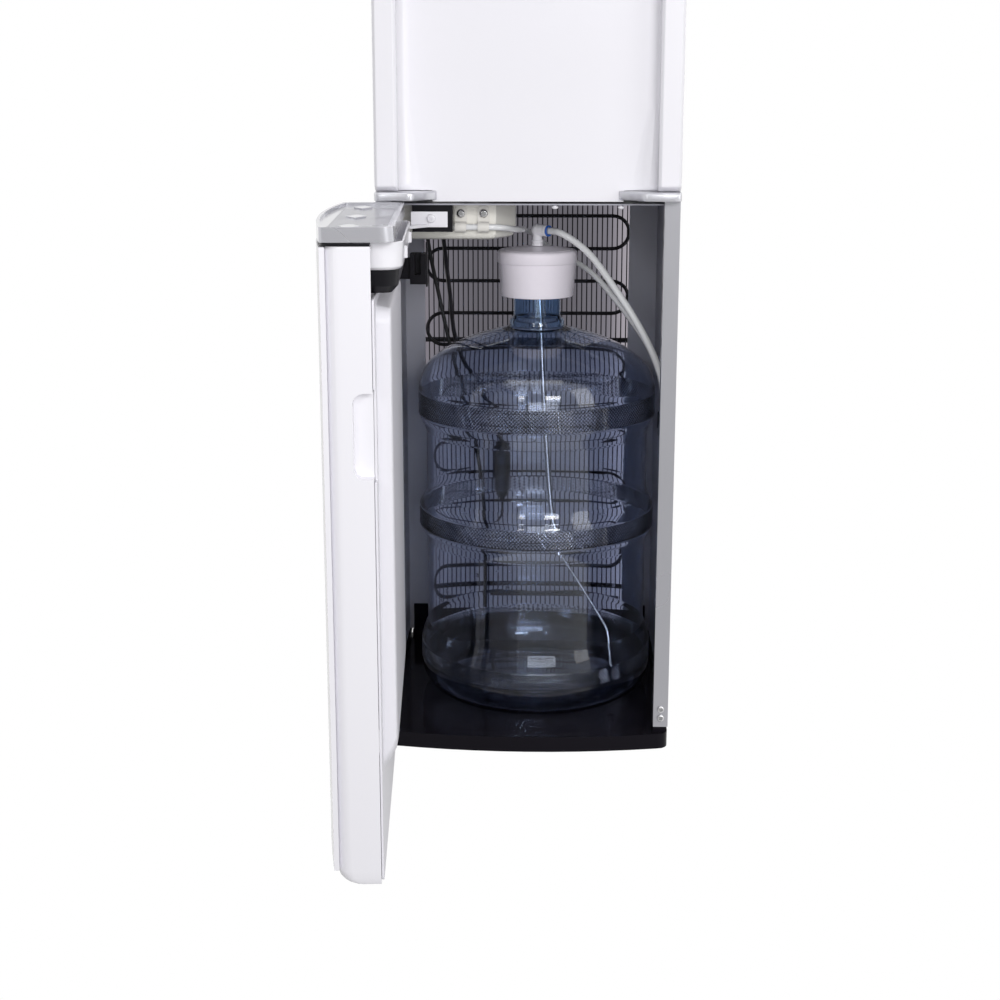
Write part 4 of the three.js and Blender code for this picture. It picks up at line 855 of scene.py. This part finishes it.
# %% Suction tube in two lengths
SUCTION_RADIUS = 3.95
BOTTLE_CENTRE = (9, -2)     # millimetres
ELBOW_TURN = math.radians(-38)
ARM_LENGTH = 17.0
ARM_Z = 552.5


def from_elbow(distance, drop=0.0):
    """A point on the elbow arm's axis, beyond the arm's end by a distance in millimetres."""
    reach = ARM_LENGTH + distance
    return (BOTTLE_CENTRE[0] + reach * math.cos(ELBOW_TURN),
            BOTTLE_CENTRE[1] + reach * math.sin(ELBOW_TURN), ARM_Z - drop)


SUCTION_POINTS = [
    from_elbow(0.5), from_elbow(7), from_elbow(14, 1), (46, -24, 545), (66, -35, 530),
    (93, -58, 496), (119, -84, 458), (136, -106, 426), (144.6, -119, 400),
    (UNION[0], UNION[1], 384), (UNION[0], UNION[1], UNION[3])]
suction_line = smooth_route(SUCTION_POINTS, 8)
MEETING = 4 * 8
near = tube_along("suction_tube_near", suction_line[:MEETING + 1], SUCTION_RADIUS, "tube_white")
far = tube_along("suction_tube_far", suction_line[MEETING:], SUCTION_RADIUS, "tube_white")
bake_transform(near)
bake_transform(far)
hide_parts("suction_tube")
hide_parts("suction_tube")
print("suction tube meets at", tuple(round(v, 3) for v in suction_line[MEETING]))

# %% [markdown]
# ### Dip tube and tail
#
# Inside the bottle a thin steel tube hangs from the cap and leans to the right. A thinner steel
# tail goes on from its end to a white strainer, which hangs a little above the bottle's floor. The
# strainer is a turned shape: its profile is drawn once and spun round its axis.

# %% Turning helper
def turned(title, profile, centre, slot, steps=64, smooth=35.0):
    """Spins a profile of (radius, height) in millimetres round an upright axis."""
    mesh = bpy.data.meshes.new(title)
    corners = [((centre[0] + radius) * MM, centre[1] * MM, height * MM)
               for radius, height in profile]
    mesh.from_pydata(corners, [(i, i + 1) for i in range(len(corners) - 1)], [])
    piece = take_up(link_in(bpy.data.objects.new(title, mesh)))
    bpy.ops.object.mode_set(mode="EDIT")
    bpy.ops.mesh.select_all(action="SELECT")
    bpy.ops.mesh.spin(steps=steps, angle=math.tau, center=(centre[0] * MM, centre[1] * MM, 0),
                      axis=(0, 0, 1))
    bpy.ops.object.mode_set(mode="OBJECT")
    give_finish(settle(piece, smooth), slot)
    return piece


# %% Dip tube, tail and strainer
DIP_RADIUS, TAIL_RADIUS = 2.9, 1.6
STRAINER_CENTRE = (96.3, -69)
DIP_POINTS = [(9, -2, 505.4), (12, -2, 473), (17, -3, 370), (29, -8, 215), (38, -16, 180)]
TAIL_POINTS = [(38.9, -16.8, 178.4), (63, -37, 146), (86, -56, 112), (90.5, -60, 104),
               (92.2, -62.2, 96), (94.6, -66, 76), (96.3, -69, 54)]
dip = tube_along("dip_tube_run", smooth_route(DIP_POINTS, 10), DIP_RADIUS, "steel")
tail = tube_along("tail_run", smooth_route(TAIL_POINTS, 8), TAIL_RADIUS, "steel")
strainer = turned("strainer", [
    (0, 41.0), (4.4, 41.0), (4.9, 41.3), (5.1, 42.0), (5.1, 43.2), (5.5, 43.5), (5.5, 44.4),
    (5.1, 44.7), (5.1, 46.0), (5.5, 46.3), (5.5, 47.2), (5.1, 47.5), (5.1, 49.0), (5.5, 49.3),
    (5.5, 50.4), (4.6, 51.4), (3.2, 55.0), (2.6, 55.8),
    (0, 55.8)], STRAINER_CENTRE, "cap_white", 32)
for piece, node in ((dip, "dip_tube"), (tail, "tail_tube"), (strainer, "tail_tube")):
    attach(piece, "probe")
    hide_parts(node)
print("strainer", count(strainer), "triangles")

# %% [markdown]
# ## Condenser
#
# The condenser is a steel tube that winds up the back in seventeen level runs, with forty-one
# upright wires welded behind it and three straps that hold it to the cabinet. A serpentine comes
# straight from a formula: level runs joined by half circles, first on the left, then on the
# right. One wire is modelled and copied.

# %% Serpentine
RUNS, PITCH, LOWEST = 17, 39.8, 79.0
LEFT, RIGHT, TUBE_Y = -128.0, 120.0, 157.0
CONDENSER_RADIUS, BEND_STEPS = 2.45, 12
line = [Vector((RIGHT - 4, TUBE_Y, LOWEST)) * MM]
for run in range(RUNS - 1):
    leftwards = run % 2 == 0
    x = LEFT + PITCH / 2 if leftwards else RIGHT - PITCH / 2
    z = LOWEST + (run + 0.5) * PITCH
    for step in range(BEND_STEPS + 1):
        turn = math.pi * step / BEND_STEPS - math.pi / 2
        out = -math.cos(turn) if leftwards else math.cos(turn)
        line.append(Vector((x + out * PITCH / 2, TUBE_Y, z + math.sin(turn) * PITCH / 2)) * MM)
line.append(Vector((LEFT + 4, TUBE_Y, LOWEST + (RUNS - 1) * PITCH)) * MM)
serpentine = tube_along("condenser_serpentine", line, CONDENSER_RADIUS, "black_enamel", 1)
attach(serpentine, "cabinet")
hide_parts("condenser_tube")
print("serpentine", count(serpentine), "triangles")

# %% Wires and straps
WIRES, WIRE_Y, WIRE_RADIUS = 41, 160.6, 0.78
WIRE_LOW, WIRE_HIGH = LOWEST - 43, LOWEST + (RUNS - 1) * PITCH + 14
STRAP_SIZE, STRAP_X, STRAP_Y = (288, 1.5, 6), -5, 161.6
POST_SIZE, POST_X, POST_Y = (5.8, 9, 5.8), (-146, 136), 156.9


def block(place, size):
    """A box with its middle and its size in millimetres."""
    bpy.ops.mesh.primitive_cube_add(size=1, location=[value * MM for value in place])
    piece = bpy.context.object
    piece.scale = [value * MM for value in size]
    apply_place()
    return piece


bpy.ops.object.select_all(action="DESELECT")
bpy.ops.mesh.primitive_cylinder_add(
    vertices=8, radius=WIRE_RADIUS * MM, depth=(WIRE_HIGH - WIRE_LOW) * MM,
    location=(0, WIRE_Y * MM, (WIRE_HIGH + WIRE_LOW) / 2 * MM))
wire = bpy.context.object
ease_edges(settle(wire), 0.25, 60, 1)
rack = [wire]
for number_of_wire in range(1, WIRES):
    copy = wire.copy()
    copy.data = wire.data.copy()
    link_in(copy)
    copy.location.x = number_of_wire * (RIGHT - LEFT - 4) / (WIRES - 1) * MM
    rack.append(copy)
for piece in rack:
    piece.location.x += (LEFT + 2) * MM
for strap_foot in (90, 400, 718):
    middle = strap_foot + 3
    rack.append(ease_edges(block((STRAP_X, STRAP_Y, middle), STRAP_SIZE), 0.5))
    for x in POST_X:
        rack.append(ease_edges(block((x, POST_Y, middle), POST_SIZE), 0.6))
bpy.ops.object.select_all(action="DESELECT")
for piece in rack:
    piece.select_set(True)
bpy.context.view_layer.objects.active = wire
bpy.ops.object.join()
wire.name = "condenser_rack"
take_up(wire)
apply_place()
bpy.ops.object.shade_smooth_by_angle(angle=math.radians(50))
give_finish(wire, "black_enamel")
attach(wire, "cabinet")
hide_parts("condenser_wires")
print("rack", count(wire), "triangles")

# %% [markdown]
# ## The bottle
#
# A five gallon bottle is blown in a mould: a straight wall with raised bands that stiffen it, a
# shoulder that domes up to the neck, and a foot that curves under to a punted base. It is a
# turned shape with an outer and an inner profile, so the wall has a real thickness to refract in.
# The profile goes up outside and comes down inside.

# %% Bottle
OUTSIDE = [
    (0, 34), (35, 33.4), (70, 31.3), (86, 29.6), (98, 27.0), (103, 24.2), (106, 22.3),
    (109.5, 21.4), (113, 21.3), (116.6, 21.5), (120, 22.5), (124.4, 25.6), (128, 30), (131.2, 36),
    (133.5, 43), (134.3, 49), (134.5, 55), (134.5, 75), (134.0, 77), (132.6, 82.5), (131, 88),
    (129.2, 93.5), (127.3, 98), (127, 99.5), (127, 198.6), (127.4, 200), (130, 206), (133, 212),
    (135.0, 215.4), (135.5, 217), (135.5, 239), (135.0, 240.6), (130.4, 249.4), (127.4, 256.6),
    (127, 258.6), (127, 325.4), (127.4, 327), (130, 333), (133, 340.6), (135.0, 345),
    (135.5, 346.8), (135.5, 373.4), (135.2, 376), (134, 382.6), (132, 389.5), (129.2, 395.8),
    (125, 401.5), (119.2, 407.2), (112, 412.6), (103.4, 418.4), (94, 423.5), (80.6, 429.6),
    (66, 434.5), (53, 438.4), (40, 441.5), (33.6, 443.8), (31.4, 445.4), (31, 446.4), (31, 451.4),
    (30.4, 452.4), (27.6, 455.4), (26.6, 457), (26.4, 458), (26.4, 499.6), (27.6, 500.4),
    (28, 501.2), (28, 504.8), (27.5, 505.4), (26.8, 505.5)]
INSIDE = [
    (25.2, 505.5), (24.6, 505), (24.6, 455), (26.2, 449), (30, 441.8), (46, 437.9), (65, 432.4),
    (79.2, 427.6), (92.6, 421.5), (102, 416.4), (110.6, 410.8), (117.6, 405.6), (123.3, 400),
    (127.4, 394.6), (130.2, 388.5), (132.6, 381), (133.7, 373.6), (133.7, 346.6), (130, 336.5),
    (125.6, 328), (125.2, 326), (125.2, 258), (125.6, 256), (129.6, 248.4), (133.7, 239.6),
    (133.7, 216.8), (129.6, 208.4), (125.6, 200.4), (125.2, 198.6), (125.2, 99.6), (128, 90.5),
    (132.7, 75), (132.7, 55), (132.4, 49), (131.4, 43.6), (129.4, 37), (126.4, 31.4), (123, 27.4),
    (119, 24.8), (113, 23.6), (107.6, 24), (103.6, 26.6), (99, 29.4), (86, 31.8), (70, 33.6),
    (35, 35.8), (0, 36.4)]
COLUMNS, ROW = 2 * DIAMONDS_ROUND, 2.0
BAND_FROM = 134     # millimetres; only the raised bands reach further out


def with_rows(profile):
    """Adds a point every 2 mm to the upright faces of the raised bands."""
    points = []
    for (radius, low), (next_radius, high) in zip(profile, profile[1:]):
        points.append((radius, low))
        if radius == next_radius and radius > BAND_FROM:
            rows = range(math.ceil((low + 0.8) / ROW), math.floor((high - 0.8) / ROW) + 1)
            points += [(radius, row * ROW) for row in rows]
    return points + [profile[-1]]


bottle = turned("bottle_shell", with_rows(OUTSIDE) + INSIDE, BOTTLE_CENTRE, "bottle_blue",
                COLUMNS, 40)
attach(bottle, "bottle")
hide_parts("bottle")
print("bottle", count(bottle), "triangles")

# %% [markdown]
# ### Knurl
#
# The bands now have a grid of points, 2 mm apart both ways. Every second point is a diamond's
# tip, as on a chessboard. The others sink half a millimetre and become the grooves. Each square
# of the grid is cut from groove to groove, so that the diamonds are true pyramids with flat
# faces.

# %% Diamonds on the bands
KNURL_DEPTH, KNURL_FROM = 0.5, 134.2     # millimetres inwards, and from the axis
shell = bmesh.new()
shell.from_mesh(bottle.data)
is_tip = {}
for corner in shell.verts:
    x, y = corner.co.x - BOTTLE_AXIS[0], corner.co.y - BOTTLE_AXIS[1]
    row = corner.co.z / (ROW * MM)
    if math.hypot(x, y) > KNURL_FROM * MM and abs(row - round(row)) < 0.01:
        column = round(math.atan2(y, x) / math.tau * COLUMNS)
        is_tip[corner] = (round(row) + column) % 2 == 1
for corner, tip in is_tip.items():
    if not tip:
        inward = Vector((BOTTLE_AXIS[0] - corner.co.x, BOTTLE_AXIS[1] - corner.co.y, 0))
        corner.co += inward.normalized() * KNURL_DEPTH * MM
for face in list(shell.faces):
    grooves = [corner for corner in face.verts if is_tip.get(corner) is False]
    on_band = all(corner in is_tip for corner in face.verts)
    if len(face.verts) == 4 and len(grooves) == 2 and on_band:
        other = bmesh.utils.face_split(face, *grooves)[0]
        face.smooth = other.smooth = False
shell.to_mesh(bottle.data)
shell.free()
print("knurled bottle", count(bottle), "triangles,", sum(is_tip.values()), "diamonds")

# %% [markdown]
# ## Cap and elbow of the probe
#
# The cap is a pale moulding with a tapered skirt and a lid that oversails it. A white elbow stands
# in the middle of the lid, and a blue ring locks the tube in the elbow's arm.

# %% Cap
skirt = turned("cap_skirt", [
    (0, 505.8), (29.6, 505.8), (30, 505.2), (30, 480.2), (30.6, 479.5), (40.4, 479.5), (41, 480.1),
    (41.3, 484), (43.2, 515.4), (43.2, 516.8), (0, 516.8)], BOTTLE_CENTRE, "cap_white", 96)
lid = turned("cap_lid", [
    (0, 516.9), (43.6, 516.9), (44.6, 517.1), (45, 517.8), (45, 527.6), (44.7, 528.8), (43.8, 530),
    (42.6, 530.8), (40.0, 531.2), (39.2, 530.7), (38.0, 530.7), (37.4, 531.4), (22, 533.7),
    (12, 534.6), (0, 534.8)], BOTTLE_CENTRE, "cap_white", 96)
for piece in (skirt, lid):
    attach(piece, "probe")
    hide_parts("probe_cap")
print("cap", count(skirt) + count(lid), "triangles")

# %% Elbow and collet
KNEE_RADIUS = 7.1
KNEE_PLACE = (BOTTLE_CENTRE[0] * MM, BOTTLE_CENTRE[1] * MM, ARM_Z * MM)
barrel = turned("elbow_barrel", [
    (0, 535.3), (6.6, 535.3), (6.6, 537.6), (6.0, 538.0), (6.0, 538.8), (6.6, 539.2), (6.6, 541.2),
    (5.7, 542.2), (5.5, 550), (0, 552)], BOTTLE_CENTRE, "cool_white", 40)
bpy.ops.object.select_all(action="DESELECT")
bpy.ops.mesh.primitive_uv_sphere_add(segments=40, ring_count=24, radius=KNEE_RADIUS * MM,
                                     location=KNEE_PLACE)
knee = give_finish(settle(bpy.context.object, 60), "cool_white")


def lay_along_arm(piece):
    """Lays a piece that was turned round the origin's upright axis along the elbow's arm."""
    way = Vector((math.cos(ELBOW_TURN), math.sin(ELBOW_TURN), 0))
    piece.rotation_euler = way.to_track_quat("Z", "Y").to_euler()
    piece.location = KNEE_PLACE
    return settle(piece)


arm = lay_along_arm(turned("elbow_arm", [
    (0, 0), (6.4, 0), (6.4, 9.2), (6.0, 9.8), (6.0, 10.8), (6.5, 11.3), (6.5, 14.0),
    (6.1, 14.6), (0, 14.6)], (0, 0), "cool_white", 40))
collet = lay_along_arm(turned("collet_ring", [
    (4.1, 14.7), (5.7, 14.7), (6.3, 15.1), (6.3, 16.3), (5.9, 16.9), (4.5, 16.9), (4.1, 16.6),
    (4.1, 14.7)], (0, 0), "blue_plastic", 40))
take_up(barrel)
knee.select_set(True)
arm.select_set(True)
bpy.ops.object.join()
barrel.name = "elbow_fitting"
bpy.ops.object.shade_smooth_by_angle(angle=math.radians(35))
for piece in (barrel, collet):
    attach(piece, "probe")
    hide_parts("probe_elbow")
print("elbow", count(barrel), "collet", count(collet), "triangles")

# %% [markdown]
# ## Screws
#
# Five screws show: two at the foot of the right pillar, one in each tube clip and one in the
# hinge bracket. Each has a domed head with a cross in it. One is modelled: a short cylinder whose
# front rim is bevelled into a dome, with the cross cut out by a Boolean modifier. It is the
# pattern of all five, which are copies of its mesh, scaled to their size.

# %% The pattern
HEAD_RADIUS, HEAD_DEPTH, DOME, SHANK = 3.95, 2.7, 1.9, 5.9
CROSS_LENGTH, CROSS_WIDTH, CROSS_DEPTH = 3.6, 0.85, 2.2


def disc(title, vertices, radius, depth, place):
    """A short cylinder that faces the front; sizes in millimetres."""
    bpy.ops.object.select_all(action="DESELECT")
    bpy.ops.mesh.primitive_cylinder_add(
        vertices=vertices, radius=radius * MM, depth=depth * MM,
        location=[value * MM for value in place], rotation=(math.radians(90), 0, 0))
    piece = bpy.context.object
    piece.name = title
    apply_place()
    return piece


def domed_screw(title):
    """A screw on the origin, its head towards -Y and its shank behind it."""
    head = disc(title, 40, HEAD_RADIUS, HEAD_DEPTH, (0, -1.35, 0))
    bpy.ops.object.mode_set(mode="EDIT")
    dome = bmesh.from_edit_mesh(head.data)
    for edge in dome.edges:
        edge.select_set(all(v.co.y < -2.6 * MM for v in edge.verts))
    bmesh.update_edit_mesh(head.data)
    bpy.ops.mesh.bevel(offset=DOME * MM, segments=6, profile=0.5)
    bpy.ops.mesh.select_all(action="DESELECT")
    dome = bmesh.from_edit_mesh(head.data)
    for face in dome.faces:
        face.select_set(face.normal.y > 0.9)
    bmesh.update_edit_mesh(head.data)
    bpy.ops.mesh.inset(thickness=1.95 * MM)
    bpy.ops.mesh.extrude_region_move(TRANSFORM_OT_translate={"value": (0, SHANK * MM, 0)})
    bpy.ops.object.mode_set(mode="OBJECT")
    for wide, high in ((CROSS_LENGTH, CROSS_WIDTH), (CROSS_WIDTH, CROSS_LENGTH)):
        blade = block((0, -2.3, 0), (wide, CROSS_DEPTH, high))
        take_up(head)
        notch = head.modifiers.new("cross", "BOOLEAN")
        notch.operation = "DIFFERENCE"
        notch.object = blade
        bpy.ops.object.modifier_apply(modifier=notch.name)
        bpy.data.objects.remove(blade)
    return settle(head, 40)


screw = domed_screw("pillar_screw_upper")
print("screw", count(screw), "triangles")

# %% The five screws
SCREWS = [
    ("pillar_screw_upper", "pillar_screw_2", (147, -165.3, 48), 1.0, "steel"),
    ("pillar_screw_lower", "pillar_screw_1", (147, -165.3, 38), 1.0, "steel"),
    ("clip_screw_left", "clip_screw_1", (-71, -110.5, 579), 1.15, "steel"),
    ("clip_screw_right", "clip_screw_2", (-47, -110.5, 579), 1.15, "steel"),
    ("hinge_bracket_screw", "hinge_screw", (-100, -142.3, 576), 1.15, "cool_white")]
FIRST_TURN, NEXT_TURN = 17, 31     # degrees, so that no two crosses stand alike
pattern = screw.data.copy()
bpy.data.objects.remove(screw)
for turn, (title, node, place, size, slot) in enumerate(SCREWS):
    piece = link_in(bpy.data.objects.new(title, pattern.copy()))
    piece.location = Vector(place) * MM
    piece.scale = (size,) * 3
    piece.rotation_euler = (0, math.radians(FIRST_TURN + NEXT_TURN * turn), 0)
    take_up(piece)
    apply_place()
    give_finish(piece, slot)
    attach(piece, bodies_of[node])
    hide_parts(node)
print("screws placed:", len(SCREWS))

# %% [markdown]
# Two white plastic rivets hold the shelf over the bay. Their round heads show as two small white
# spots under its front edge.

# %% Rivets under the shelf
for title, x in (("shelf_rivet_middle", 27.8), ("shelf_rivet_right", 95.4)):
    rivet = turned(title, [
        (0, 586.5), (1.8, 586.6), (2.8, 587.1), (3.3, 588.0), (3.3, 589.0), (2.9, 589.3),
        (1.5, 589.4), (1.5, 589.8), (0, 589.8)], (x, -150), "cool_white", 24)
    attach(rivet, "cabinet")
print("rivets", count(rivet), "triangles each")

# %% [markdown]
# ## Marks and lamps of the control panel
#
# A drop is moulded on each button, and a small lamp sits above it in the black board. Both are
# generic signs. The drop's outline is a circle whose top is drawn up into a point.

# %% Drops on the buttons
HEAD_FRONT, HEAD_BOW, HEAD_HALF = -200.0, 30.0, 150
BUTTONS = {"cold": -62, "room": 0, "hot": 62}
DROP_SLOTS = {"cold": "cool_white", "room": "blue_plastic", "hot": "cool_white"}
DROP_Z, DROP_RADIUS, DROP_POINT = 946.6, 3.6, 4.4


def head_front(x):
    """The bowed front of the head at a place across it, in millimetres."""
    return HEAD_FRONT - HEAD_BOW * (1 - (x / HEAD_HALF) ** 2)


for name, x in BUTTONS.items():
    slot = DROP_SLOTS[name]
    face = head_front(x) - 4.5
    drop = disc(f"button_{name}_drop", 36, DROP_RADIUS, 0.5, (x, face - 0.2, DROP_Z))
    for corner in drop.data.vertices:
        rise = corner.co.z - DROP_Z * MM
        if rise > 0:
            pull = (rise / (DROP_RADIUS * MM)) ** 2
            corner.co.z += pull * DROP_POINT * MM
            corner.co.x = x * MM + (corner.co.x - x * MM) * (1 - 0.45 * pull)
    ease_edges(drop, 0.2, 60, 1)
    give_finish(settle(drop), slot)
    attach(drop, f"button_{name}")
print("drops on three buttons")

# %% Lamps above the buttons
LAMPS = {"cold": (0.10, 0.32, 0.95), "room": (0.35, 0.75, 0.40), "hot": (0.95, 0.16, 0.10)}
LAMP_Z, LAMP_RADIUS = 972, 2.2
for name, x in BUTTONS.items():
    glow, tree, shader = new_material(f"lamp {name}")
    tone = place_group(tree, tone_drift, Colour=(*LAMPS[name], 1),
                       Second_Colour=(*[v * 0.7 for v in LAMPS[name]], 1), Scale=300.0,
                       Amount=0.8)["Colour"]
    grain = place_group(tree, fine_relief, Scale=900.0, Roughness=0.25, Spread=0.1)
    set_inputs(tree, shader, {"Base Color": tone, "Emission Color": tone,
                              "Roughness": grain["Roughness"], "Emission Strength": 0.5})
    lamp = disc(f"lamp_{name}", 32, LAMP_RADIUS, 1.6, (x, head_front(x) + 0.4, LAMP_Z))
    ease_edges(lamp, 0.6, 60, 4)
    settle(lamp, 50)
    lamp.data.materials.append(glow)
    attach(lamp, "cabinet")
print("lamps placed")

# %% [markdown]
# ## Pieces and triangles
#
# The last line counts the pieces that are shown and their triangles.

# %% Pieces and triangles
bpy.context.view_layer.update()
pieces = [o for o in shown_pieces() if o.type == "MESH"]
print("pieces:", len(pieces), "triangles:", sum(count(o) for o in pieces))
